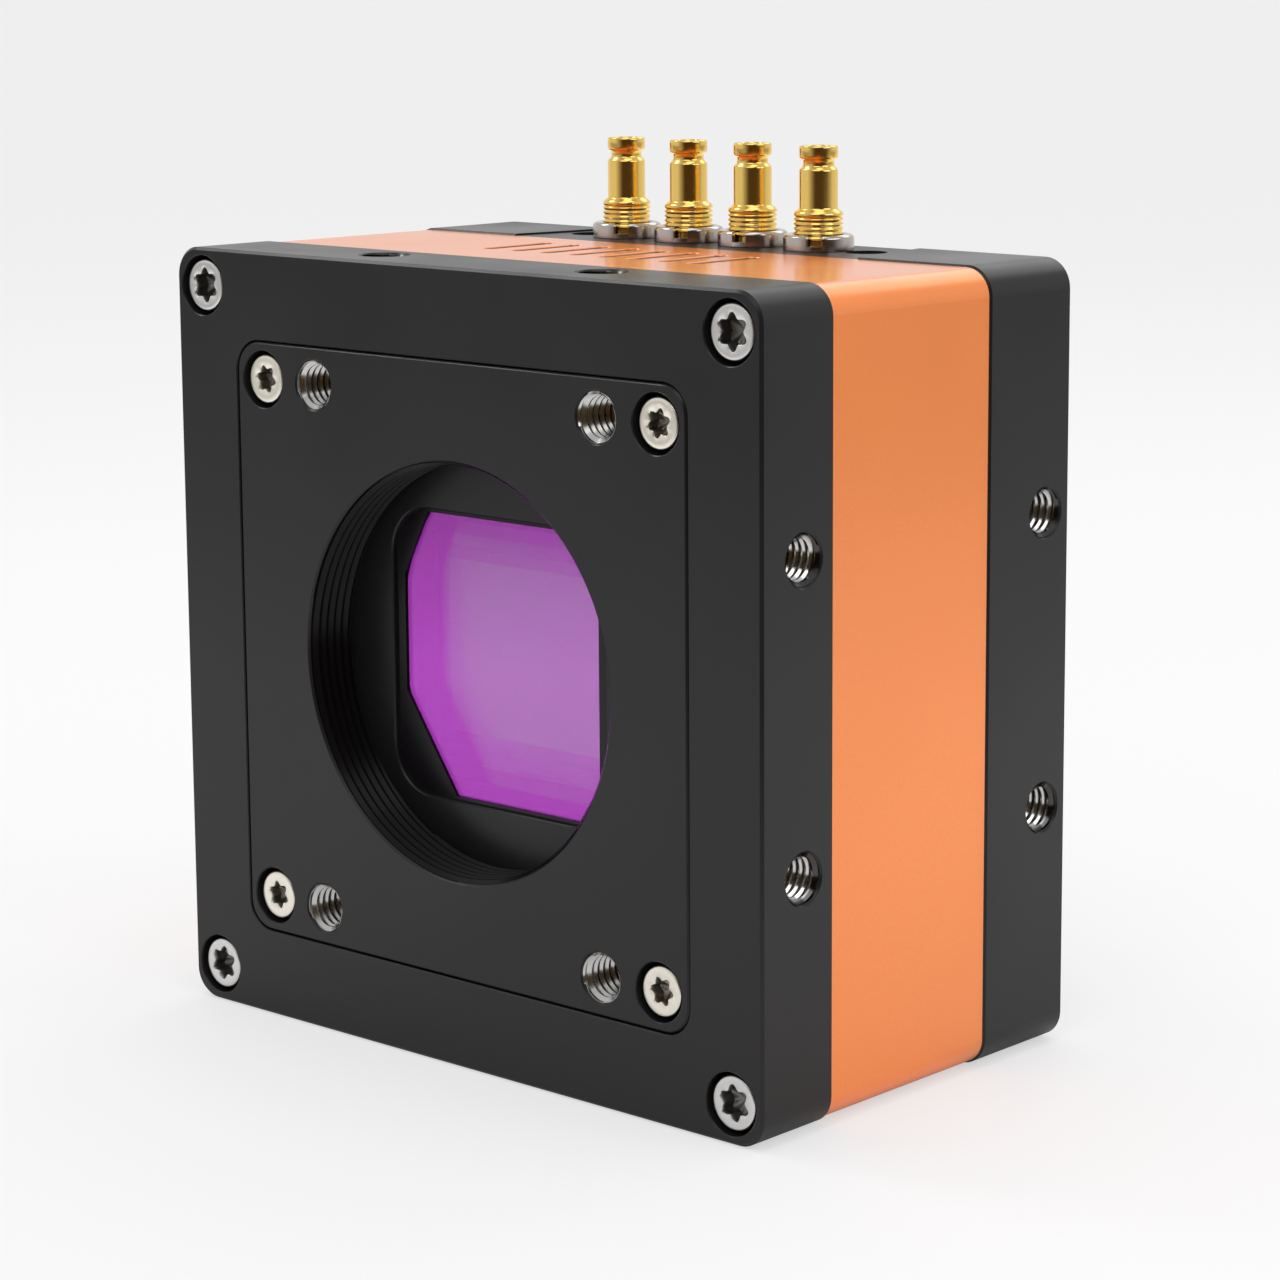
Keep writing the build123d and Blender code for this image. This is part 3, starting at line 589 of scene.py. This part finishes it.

# %% [markdown]
# ## Steel and nickel for the screws
# The body screws are plain steel with a cool grey shine, and the lens plate's screws are nickel
# plated, a little warmer. Both are near mirrors with a soft haze. Little light gets into the
# star recess, so painted shade darkens the metal's colour with its depth under the face of the head.

# %% Make the screw metals
HEAD_RECESS = 0.4 * MM
BODY_MIDDLE_Y = (FRONT_Y + BACK_Y) / 2
HEAD_TOP = (BACK_Y - FRONT_Y) / 2 - HEAD_RECESS
# Where the painted shade in the star recess begins and ends, and how dark it gets.
DARK_FROM, BRIGHT_TO, RECESS_SHADE_SHARE = 0.55 * MM, 0.08 * MM, 0.3


def screw_metal(name, colour, roughness):
    """Plated steel, with painted shade that darkens the star recess below the face of the head."""
    material = grained(name, colour, 1.0, roughness, grain=9000.0, tone=0.05, bump=0.08, depth=0.003)
    tree = material.node_tree
    depth = away_from(tree, object_place(tree)["Y"], BODY_MIDDLE_Y)
    # Painted shade: the colour darkens with depth into the star recess.
    scale_colour(material, spread(tree, depth, HEAD_TOP - DARK_FROM, HEAD_TOP - BRIGHT_TO, RECESS_SHADE_SHARE, 1.0))
    return material


steel = screw_metal("screw_steel", (0.78, 0.775, 0.755), 0.32)
warm_nickel = screw_metal("warm_nickel", (0.93, 0.89, 0.78), 0.3)
print("screw metals:", steel.name, warm_nickel.name)

# %% [markdown]
# ## The screws in their corners
# A screw stops where its thread bites, so no two stars point the same way. Each corner has its
# own turn in degrees, read from the photograph, and the hidden rear screws take the front ones'.

# %% Place the screws
BODY_SCREW = 36.1 * MM
LENS_SCREW = 27.05 * MM
LOBE_UP = 30
front_turns = {(-1, 1): 4, (1, 1): 2, (-1, -1): -6, (1, -1): 8}
lens_turns = {(-1, 1): 20, (1, 1): -12, (-1, -1): 12, (1, -1): 25}


def place_screws(screw, name, node, half, faces, depth_y, turns, material, slot):
    for (sx, sz), turn in turns.items():
        at = Vector((sx * half, depth_y, AXIS.z + sz * half))
        matrix = Matrix.Translation(at) @ LOOK[faces] @ Matrix.Rotation(math.radians(LOBE_UP + turn), 4, "Z")
        label = f"{name}_{'right' if sx > 0 else 'left'}_{'upper' if sz > 0 else 'lower'}"
        finish_piece(copy_at(screw, label, matrix), material, slot, node)


place_screws(outer_screw, "front_screw", "front_plate_screws", BODY_SCREW, "front", FRONT_Y + HEAD_RECESS,
             front_turns, steel, "steel_screw")
place_screws(outer_screw, "rear_screw", "rear_cover_screws", BODY_SCREW, "back", BACK_Y - HEAD_RECESS,
             front_turns, steel, "steel_screw")
place_screws(inner_screw, "lens_plate_screw", "lens_plate_screws", LENS_SCREW, "front", FRONT_Y + HEAD_RECESS,
             lens_turns, warm_nickel, "nickel_screw")
for template in (outer_screw, inner_screw):
    bpy.data.objects.remove(template)

# %% [markdown]
# ## Tapped holes
# The mounting holes were tapped after the body was anodised, so their threads are bare bright
# aluminium in a black plate. One thread is modelled at two lengths and copied into all of
# them, each with its first crest turned to another place, as separate taps leave it. The holes
# in the sides were countersunk before the anodising, so the first turn in them stays black.

# %% Cut the thread of the M5 holes
bare_thread = grained("bare_thread", (0.62, 0.615, 0.6), 1.0, 0.17, grain=5000.0, tone=0.05, bump=0.08,
                      depth=0.003)
MOUTH, MOUTH_SHARE = 0.8 * MM, 0.12


def blacken_mouths(material):
    """The side, top and bottom holes were countersunk before the anodising, so their mouths are black."""
    tree = material.node_tree
    place = object_place(tree)
    outwards = calculate(tree, "MAXIMUM", away_from(tree, place["X"]), away_from(tree, place["Z"], AXIS.z))
    scale_colour(material, spread(tree, outwards, HALF_WIDTH - 1.2 * MOUTH, HALF_WIDTH - 0.8 * MOUTH,
                                  1.0, MOUTH_SHARE))


blacken_mouths(bare_thread)
FRONT_TAP_DEPTH, EDGE_TAP_DEPTH = 4.9, 6.9
m5 = {"root": 2.46, "crest": 2.06, "pitch": 0.8, "mouth": 0.18, "steps": 64}
sleeve = threaded_sleeve("mount_thread", depth=FRONT_TAP_DEPTH, **m5)
deep_sleeve = threaded_sleeve("deep_mount_thread", depth=EDGE_TAP_DEPTH, **m5)
print("faces of one thread:", len(sleeve.data.polygons))

# %% [markdown]
# ## One thread in every mounting hole
# Four holes surround the lens opening. The front plate has one pair in each of its four edges,
# and the rear cover has a pair on its left and right. Each entry of the list says which sleeve
# a hole gets, which way it looks, where its mouth is, and how far its thread is turned.

# %% Put the threads in the mounting holes
FRONT_SIDE_Y, REAR_SIDE_Y = FRONT_Y + 5.9 * MM, BACK_Y - 4.1 * MM
HALF_TAPS, FRONT_TAP_X = 15.0 * MM, 19.5 * MM
hole_list = []
for sx in (-1, 1):
    for sz in (-1, 1):
        at = Vector((sx * FRONT_TAP_X, FRONT_Y, AXIS.z + sz * LENS_SCREW))
        hole_list.append((sleeve, "front", at, 70 + 40 * sx))
        for y in (FRONT_SIDE_Y, REAR_SIDE_Y):
            at = Vector((sx * HALF_WIDTH, y, AXIS.z + sz * HALF_TAPS))
            hole_list.append((deep_sleeve, "right" if sx > 0 else "left", at, 110 * sz))
    for face, z, turn in (("top", BODY_TOP, 30), ("bottom", 0, 50)):
        hole_list.append((deep_sleeve, face, Vector((sx * HALF_TAPS, FRONT_SIDE_Y, z)), turn))
for number, (template, face, at, turn) in enumerate(hole_list, 1):
    matrix = Matrix.Translation(at) @ LOOK[face] @ Matrix.Rotation(math.radians(turn), 4, "Z")
    finish_piece(copy_at(template, f"mount_thread_{number:02d}", matrix), bare_thread, "bare_aluminium")
for template in (sleeve, deep_sleeve):
    bpy.data.objects.remove(template)
print("threaded holes:", len(hole_list))

# %% [markdown]
# ## The lens thread
# The large opening carries a fine thread of one millimetre pitch. It was cut before the
# plate was anodised, so it is as black as the plate, and only its crests catch light.

# %% Cut the lens thread
lens_thread_black = grained("lens_thread_black", (0.004, 0.0035, 0.004), 0.0, 0.21, tone=0.08, bump=0.05,
                            Specular_IOR_Level=0.16)
lens_thread = threaded_sleeve("lens_thread", root=20.97, crest=20.55, pitch=1.0, depth=5.6, mouth=0.22,
                              steps=192)
lens_thread.data.transform(Matrix.Translation(AXIS) @ LOOK["front"])
finish_piece(lens_thread, lens_thread_black, "black_anodised")
print("faces of the lens thread:", len(lens_thread.data.polygons))

# %% [markdown]
# ## Coaxial jacks
# Each jack is one turned and gold plated body with a snap groove near its head, a cone and a
# few thread crests above the ring nut. Inside it stand a white insulator and a gold pin. The
# spin gives the body, and the crests are rings in the same outline.

# %% Make the metals of the jacks and find their places
gold = grained("gold_plating", (1.0, 0.67, 0.18), 1.0, 0.18, grain=7000.0, tone=0.03, drift=0.03, bump=0.03,
               depth=0.002)
nickel = grained("nut_nickel", (0.56, 0.5, 0.46), 1.0, 0.18, grain=7000.0, tone=0.05, drift=0.04, bump=0.05,
                 depth=0.002)
insulator_white = grained("insulator_white", (0.82, 0.8, 0.76), 0.0, 0.45, tone=0.03)
JACK_X = [sum(corner.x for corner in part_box(f"coax_body_{n}")) / 2 for n in range(1, 5)]
JACK_Y = sum(corner.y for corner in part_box("coax_body_1")) / 2
PANEL_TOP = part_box("connector_panel")[1].z
print("jacks at x in mm:", [round(x / MM, 1) for x in JACK_X])

# %% [markdown]
# ## The outline of a jack
# The outline runs up the outside and back down the bore, in millimetres, with height zero at
# the panel. The part below the panel is hidden. The straight barrel needs no points of its own:
# it is the line from the end of the cone to the start of the snap groove.

# %% Turn the jacks


def crests(radius, depth, low, high, count):
    """Ring crests between two heights, as (radius, height) points of an outline."""
    pitch = (high - low) / count
    points = []
    for i in range(count):
        base = low + i * pitch
        points += [(radius - depth, base + 0.1 * pitch), (radius, base + 0.4 * pitch),
                   (radius, base + 0.6 * pitch), (radius - depth, base + 0.9 * pitch)]
    return points


foot = [(1.15, -8), (2.2, -8), (2.2, -4.5), (3.6, -4.5), (3.6, -3), (2.6, -3)]
thread = crests(2.54, 0.17, 1.0, 3.4, 5)
cone = [(2.42, 3.44), (2.51, 3.5), (2.54, 3.6), (2.52, 3.74), (2.44, 3.88), (2.3, 4.0), (2.09, 4.14),
        (2.01, 4.23), (1.98, 4.35)]
snap_groove = [(1.98, 8.06), (1.96, 8.16), (1.89, 8.26), (1.68, 8.48), (1.62, 8.56), (1.6, 8.66), (1.6, 9.13),
               (1.64, 9.2), (1.86, 9.28), (1.95, 9.36), (1.98, 9.46)]
head_and_bore = [(1.98, 10.42), (1.95, 10.53), (1.88, 10.6), (1.34, 10.6), (1.24, 10.56), (1.16, 10.4),
                 (1.15, 10.1), (1.15, -8)]
pin = [(0, -10.1), (0.5, -10.1), (0.5, 8.7), (0.47, 8.82), (0.36, 8.95), (0.18, 9.0), (0, 9.0)]
insulator = [(0.55, -8), (1.12, -8), (1.12, 6.54), (1.08, 6.6), (0.59, 6.6), (0.55, 6.54), (0.55, -8)]
body = foot + thread + cone + snap_groove + head_and_bore
jack_pieces = {
    "body": (turned("jack_body", body, smooth_angle=50), gold, "gold"),
    "pin": (turned("jack_pin", pin, steps=48, smooth_angle=50), gold, "gold"),
    "insulator": (turned("jack_insulator", insulator, steps=64), insulator_white, "insulator_white")}
for number, x in enumerate(JACK_X, 1):
    place = Matrix.Translation((x, JACK_Y, PANEL_TOP))
    for part, (template, material, slot) in jack_pieces.items():
        finish_piece(copy_at(template, f"jack_{part}_{number}", place), material, slot, f"coax_{part}_{number}")
for part, (template, material, slot) in jack_pieces.items():
    print("faces of a jack's", part + ":", len(template.data.polygons))
    bpy.data.objects.remove(template)

# %% [markdown]
# ## Slotted ring nuts
# A ring nut holds each jack to the panel. Two slots across its top take the pins of a
# spanner. The ring is spun, a Boolean with one long bar cuts both slots, and a Bevel breaks
# the edges that the cut leaves. A nut stops where its thread bites, so each has its own angle.

# %% Cut the ring nuts
NUT_HEIGHT, EDGE_BREAK = 1.65, 0.05 * MM
SLOT_WIDTH, SLOT_REACH, SLOT_DEPTH = 1.5, 9, 1.1
SLOT_ANGLES = (34, 28, 17, 34)
nut_outline = [(2.72, 0), (3.6, 0), (3.65, 0.06), (3.65, 1.26), (3.62, 1.38), (3.55, 1.48), (3.44, 1.57),
               (3.31, 1.63), (3.2, NUT_HEIGHT), (2.9, NUT_HEIGHT), (2.78, 1.6), (2.72, 1.5), (2.72, 0)]


def slotted_nut(name, slot_angle):
    nut = turned(name, nut_outline)
    clear_selection()
    bpy.ops.mesh.primitive_cube_add(size=MM, location=(0, 0, (NUT_HEIGHT - SLOT_DEPTH / 2) * MM))
    cutter = named("slot_cutter")
    bpy.ops.transform.resize(value=(SLOT_WIDTH, SLOT_REACH, SLOT_DEPTH))
    bpy.ops.object.transform_apply(location=True, scale=True)
    cutter.data.transform(Matrix.Rotation(math.radians(slot_angle), 4, "Z"))
    select_only(nut)
    cut = nut.modifiers.new("slot", "BOOLEAN")
    cut.operation, cut.solver, cut.object = "DIFFERENCE", "EXACT", cutter
    bpy.ops.object.modifier_apply(modifier=cut.name)
    edge = nut.modifiers.new("edge", "BEVEL")
    edge.width, edge.segments = EDGE_BREAK, 2
    edge.limit_method, edge.angle_limit = "ANGLE", math.radians(50)
    bpy.ops.object.modifier_apply(modifier=edge.name)
    bpy.data.objects.remove(cutter)
    return close_up(nut, 40)


for number, (x, slot_angle) in enumerate(zip(JACK_X, SLOT_ANGLES), 1):
    nut = slotted_nut(f"ring_nut_{number}", slot_angle)
    nut.data.transform(Matrix.Translation((x, JACK_Y, PANEL_TOP)))
    finish_piece(nut, nickel, "nickel", "coax_ring_nuts")
print("ring nuts:", len(JACK_X))

# %% [markdown]
# ## The filter glass and what lies behind it
# Behind the black mask sits a glass with an infrared blocking coat. The coat reflects violet
# and lets green pass, so the mirror image of the bright tent is purple. A high index of
# refraction and a violet specular tint stand for the coat, and the glass stays plain glass
# otherwise. The sensor behind it is a pale green, and where that green shines through, the
# purple turns into a greyer lilac: the active area shows as a paler rectangle.

# %% Finish the mask, the glass and the sensor


def glass_like(name, colour, roughness, index=1.45, tint=(1, 1, 1)):
    """Plain glass whose polish drifts a little. A tint colours only what it mirrors."""
    material, tree, shader = new_material(name, colour, 0.0, Roughness=roughness, IOR=index)
    shader.inputs["Specular Tint"].default_value = (*tint, 1)
    shader.inputs["Transmission Weight"].default_value = 1.0
    noise = add_node(tree, "ShaderNodeTexNoise", in_Scale=60.0, in_Detail=1.0)
    join(tree, (coordinates(tree), noise.inputs["Vector"]),
         (spread(tree, noise.outputs["Fac"], *NOISE_RANGE, roughness * 0.8, roughness * 1.2),
          shader.inputs["Roughness"]))
    return material


filter_coat = glass_like("filter_glass", (0.6, 0.9, 0.6), 0.012, index=4.3, tint=(0.83, 0.1, 1.0))
mask_black = grained("mask_black", (0.005, 0.004, 0.005), 0.0, 0.24, tone=0.1, Specular_IOR_Level=0.27)
finish_node("filter_glass", filter_coat)
finish_node("sensor_cover_glass", glass_like("cover_glass", (0.97, 0.94, 0.98), 0.02))
finish_node("filter_mask", mask_black)
ACTIVE_AREA = (("X", 0.0, 11.0 * MM), ("Z", AXIS.z + 0.15 * MM, 8.95 * MM))
ACTIVE_EDGE = 0.05 * MM


def build_die():
    """The active area is a pale green, and the rim of the die round it is dark."""
    material, tree, shader = new_material("sensor_die", (0.12, 0.4, 0.1), 0.2, Roughness=0.25)
    place = object_place(tree)
    masks = [spread(tree, away_from(tree, place[axis], middle), half - ACTIVE_EDGE, half + ACTIVE_EDGE, 1.0, 0.0)
             for axis, middle, half in ACTIVE_AREA]
    noise = add_node(tree, "ShaderNodeTexNoise", in_Scale=90.0, in_Detail=2.0)
    pale = colour_mix(tree, noise.outputs["Fac"], (0.12, 0.4, 0.09, 1), (0.14, 0.44, 0.11, 1))
    whole = colour_mix(tree, calculate(tree, "MULTIPLY", *masks), (0.03, 0.03, 0.03, 1), pale)
    join(tree, (whole, shader.inputs["Base Color"]))
    return material


finish_node("sensor_die", build_die())
package_dark = grained("package_dark", (0.05, 0.03, 0.05), 0.0, 0.5, tone=0.08)
finish_node("sensor_package", package_dark)
finish_node("filter_gasket", package_dark)
print("optical stack finished")

# %% [markdown]
# ## Boards and the other inner parts
# A closed camera hides its boards, but the part can be opened, so they get the finishes of
# real ones: green solder resist, black moulded connectors, matt chip lids and white cable.

# %% Finish the inner parts
rubber = grained("seal_rubber", (0.02, 0.02, 0.02), 0.0, 0.7, tone=0.15)
resist = grained("solder_resist", (0.02, 0.16, 0.06), 0.0, 0.35, grain=1500.0, tone=0.12)
moulded = grained("moulded_black", (0.02, 0.02, 0.02), 0.0, 0.5, tone=0.15)
aluminium = grained("bare_aluminium", (0.78, 0.78, 0.78), 1.0, 0.35, tone=0.08)
plain_steel = grained("plain_steel", (0.7, 0.7, 0.69), 1.0, 0.3, tone=0.06)
inner = {
    **dict.fromkeys(("lens_plate_seal", "front_gasket", "rear_gasket"), rubber),
    **dict.fromkeys(("sensor_board", "processor_board", "power_board", "jack_board"), resist),
    **dict.fromkeys(("sensor_board_connector", "processor_board_connector", "power_link_header",
                     "jack_cable_socket", "processor_cable_socket", "memory_chips", "power_inductors"), moulded),
    **dict.fromkeys(("heat_spreader", "power_capacitors"), aluminium),
    **dict.fromkeys(("board_stack_screws", "power_board_screws", "sensor_board_spacers",
                     "processor_board_spacers", "power_board_spacers"), plain_steel),
    "processor_chip": grained("chip_lid", (0.6, 0.6, 0.6), 1.0, 0.4, tone=0.06),
    "thermal_pad": grained("thermal_pad", (0.35, 0.42, 0.55), 0.0, 0.8, tone=0.08),
    "flat_cable": grained("flat_cable", (0.8, 0.8, 0.78), 0.0, 0.5, tone=0.04),
    "panel_screws": grained("black_oxide", (0.02, 0.02, 0.02), 0.0, 0.4, tone=0.1)}
for node, material in inner.items():
    finish_node(node, material)
print("inner parts finished:", len(inner))

# %% [markdown]
# ## Floor, sky and lamps
# The photograph was taken in a white tent: light from everywhere, a pale sweep and a faint
# contact shadow. The tent is open towards the photographer, and bright metal shows that
# opening as a dark brown streak with soft edges. One node group says which directions are the
# opening, and both the world and the far floor use it, for mirror rays only.

# %% The dark opening of the tent
OPENING_TURN, OPENING_HALF, OPENING_SOFT = math.radians(52), math.radians(60), 0.33
OPENING_BROWN = (0.06, 0.032, 0.008, 1)


def build_opening():
    """One for directions towards the tent's opening and zero elsewhere, from any vector."""
    tree, given, out = new_group("tent_opening", [("Direction", "NodeSocketVector", (0, 0, 0))],
                                 [("Mask", "NodeSocketFloat")])
    level = on_vector(tree, "MULTIPLY", given.outputs["Direction"], (1, 1, 0))
    towards = on_vector(tree, "DOT_PRODUCT", on_vector(tree, "NORMALIZE", level),
                        (math.sin(OPENING_TURN), -math.cos(OPENING_TURN), 0))
    edge = math.cos(OPENING_HALF)
    join(tree, (spread(tree, towards, edge - OPENING_SOFT, edge + OPENING_SOFT, 0.0, 1.0), out.inputs["Mask"]))
    return tree


tent_opening = build_opening()


def opening_mask(tree, vector):
    group = add_node(tree, "ShaderNodeGroup")
    group.node_tree = tent_opening
    join(tree, (vector, group.inputs["Direction"]))
    return group.outputs["Mask"]


print("the opening looks", round(math.degrees(OPENING_TURN)), "degrees to the right of the front")

# %% [markdown]
# ## The sweep
# The floor is white paper. For the camera it is two parts lit paper and three parts plain white
# glow, so it stays near white and the shadow stays soft. Mirror rays see three darker parts:
# the far front, where the paper ends at the opening, the paper far from the lamps on all other
# sides, and the paper close to the object, which stands in its own shade. Behind the object
# the paper stays bright, and the top faces reflect it.

# %% Build the floor
FLOOR_HALF, FLOOR_BACK, FLOOR_GAP = 8, 3, 0.1 * MM
GLOW_SHARE = 0.6
PAPER_END, FAR_RANGE, NEAR_RANGE, ASIDE = (0.13, 0.17), (0.2, 0.5), (0.08, 0.22), (0.2, 0.7)
FAR_FADE, NEAR_FADE = 0.6, 0.15
BEHIND = (-math.sin(AZIMUTH), math.cos(AZIMUTH), 0)


def paper_material():
    """White paper with a plain glow for the camera and darker parts for mirror rays."""
    material, tree, paper = new_material("studio_white", (0.88, 0.88, 0.89), 0.0, Roughness=0.6,
                                         Specular_IOR_Level=0.15)
    path = add_node(tree, "ShaderNodeLightPath")
    glow = add_node(tree, "ShaderNodeEmission", in_Color=(0.93, 0.93, 0.93, 1), in_Strength=1.0)
    seen = calculate(tree, "MULTIPLY", path.outputs["Is Camera Ray"], GLOW_SHARE)
    place = coordinates(tree)
    distance = on_vector(tree, "LENGTH", place)
    behind = on_vector(tree, "DOT_PRODUCT", on_vector(tree, "NORMALIZE", place), BEHIND)
    opening = calculate(tree, "MULTIPLY", opening_mask(tree, place), spread(tree, distance, *PAPER_END, 0.0, 1.0))
    far = calculate(tree, "MULTIPLY", spread(tree, distance, *FAR_RANGE, 0.0, FAR_FADE),
                    spread(tree, behind, *ASIDE, 1.0, 0.0))
    near = spread(tree, distance, *NEAR_RANGE, NEAR_FADE, 0.0)
    darkest = calculate(tree, "MAXIMUM", calculate(tree, "MAXIMUM", opening, far), near)
    mask = calculate(tree, "MULTIPLY", darkest, path.outputs["Is Glossy Ray"])
    dark = add_node(tree, "ShaderNodeEmission", in_Color=OPENING_BROWN, in_Strength=1.0)
    whole = shader_mix(tree, mask, shader_mix(tree, seen, paper, glow), dark)
    join(tree, (whole.outputs[0], tree.nodes["Material Output"].inputs["Surface"]))
    return material


def pale_floor():
    clear_selection()
    bpy.ops.mesh.primitive_plane_add(size=2, location=(0, 0, 0))
    floor = named("studio_floor")
    bpy.ops.object.mode_set(mode="EDIT")
    bpy.ops.mesh.subdivide(number_cuts=8)
    bpy.ops.object.mode_set(mode="OBJECT")
    floor.data.transform(Matrix.Diagonal((FLOOR_HALF, FLOOR_HALF, 1, 1)))
    floor.data.transform(Matrix.Translation((0, FLOOR_BACK, -FLOOR_GAP)))
    floor.data.materials.append(paper_material())
    return floor


print("floor faces:", len(pale_floor().data.polygons))

# %% [markdown]
# ## The tent and its lamps
# Diffuse surfaces get an even white light. Mirror rays see a tent with its opening, brighter
# near the horizon behind the object and dimmer straight above, and the camera sees plain white.
# Five soft boxes stand round the tent: overhead and behind for the top faces, front and left
# for the black front, and a high one on the right for the orange side.

# %% Light the tent
BEHIND_RANGE, SIDE_STRENGTH = (0.3, 0.95), 0.72
HORIZON_RANGE, OPENING_TOP = (0.2, 0.6), (0.5, 0.75)
ZENITH_RANGE, ZENITH_SHARE = (0.85, 0.97), 0.5


def tent_world(light_strength, near_horizon, overhead, seen_colour):
    """White light for diffuse rays, the tent for mirror rays and a plain colour for the camera."""
    world = bpy.data.worlds.new("white_tent")
    bpy.context.scene.world = world
    world.use_nodes = True
    tree = world.node_tree
    tree.nodes.clear()
    out = add_node(tree, "ShaderNodeOutputWorld")
    path = add_node(tree, "ShaderNodeLightPath")
    direction = coordinates(tree, "Generated")
    split = add_node(tree, "ShaderNodeSeparateXYZ")
    join(tree, (direction, split.inputs[0]))
    rise = split.outputs["Z"]
    behind = on_vector(tree, "DOT_PRODUCT", direction, BEHIND)
    horizon = spread(tree, behind, *BEHIND_RANGE, SIDE_STRENGTH, near_horizon)
    tent = calculate(tree, "MULTIPLY", spread(tree, rise, *HORIZON_RANGE, horizon, overhead),
                     spread(tree, rise, *ZENITH_RANGE, 1.0, ZENITH_SHARE))
    dark = calculate(tree, "MULTIPLY", opening_mask(tree, direction), spread(tree, rise, *OPENING_TOP, 1.0, 0.0))
    light = add_node(tree, "ShaderNodeBackground", in_Color=(1, 1, 1, 1), in_Strength=light_strength)
    mirror = add_node(tree, "ShaderNodeBackground")
    seen = add_node(tree, "ShaderNodeBackground", in_Color=(*seen_colour, 1), in_Strength=1.0)
    join(tree, (tent, mirror.inputs["Strength"]),
         (colour_mix(tree, dark, (1, 1, 1, 1), OPENING_BROWN), mirror.inputs["Color"]))
    lit = shader_mix(tree, path.outputs["Is Glossy Ray"], light, mirror)
    whole = shader_mix(tree, path.outputs["Is Camera Ray"], lit, seen)
    join(tree, (whole.outputs[0], out.inputs["Surface"]))


def area_lamp(name, place, aim, size, watts):
    bpy.ops.object.light_add(type="AREA", location=place)
    lamp = bpy.context.active_object
    lamp.name = name
    lamp.data.shape = "RECTANGLE"
    lamp.data.size, lamp.data.size_y = size
    lamp.data.energy = watts
    lamp.rotation_euler = (Vector(aim) - Vector(place)).to_track_quat("-Z", "Y").to_euler()


MIDDLE, TOP_FACES = (0, 0, 0.04), (0, 0, 0.06)
tent_world(light_strength=0.89, near_horizon=0.84, overhead=0.62, seen_colour=(0.93, 0.935, 0.94))
area_lamp("overhead_softbox", (0.06, 0.0, 0.7), MIDDLE, (0.3, 0.3), 0.5)
area_lamp("rear_softbox", (-0.07, 0.55, 0.48), TOP_FACES, (0.55, 0.22), 0.5)
area_lamp("front_softbox", (0.144, -0.31, 0.44), MIDDLE, (0.3, 0.3), 0.25)
area_lamp("left_softbox", (-0.33, -0.085, 0.43), MIDDLE, (0.12, 0.12), 0.3)
area_lamp("right_softbox", (0.52, 0.05, 0.36), MIDDLE, (0.4, 0.2), 0.6)
bpy.context.scene.view_settings.view_transform = "Standard"
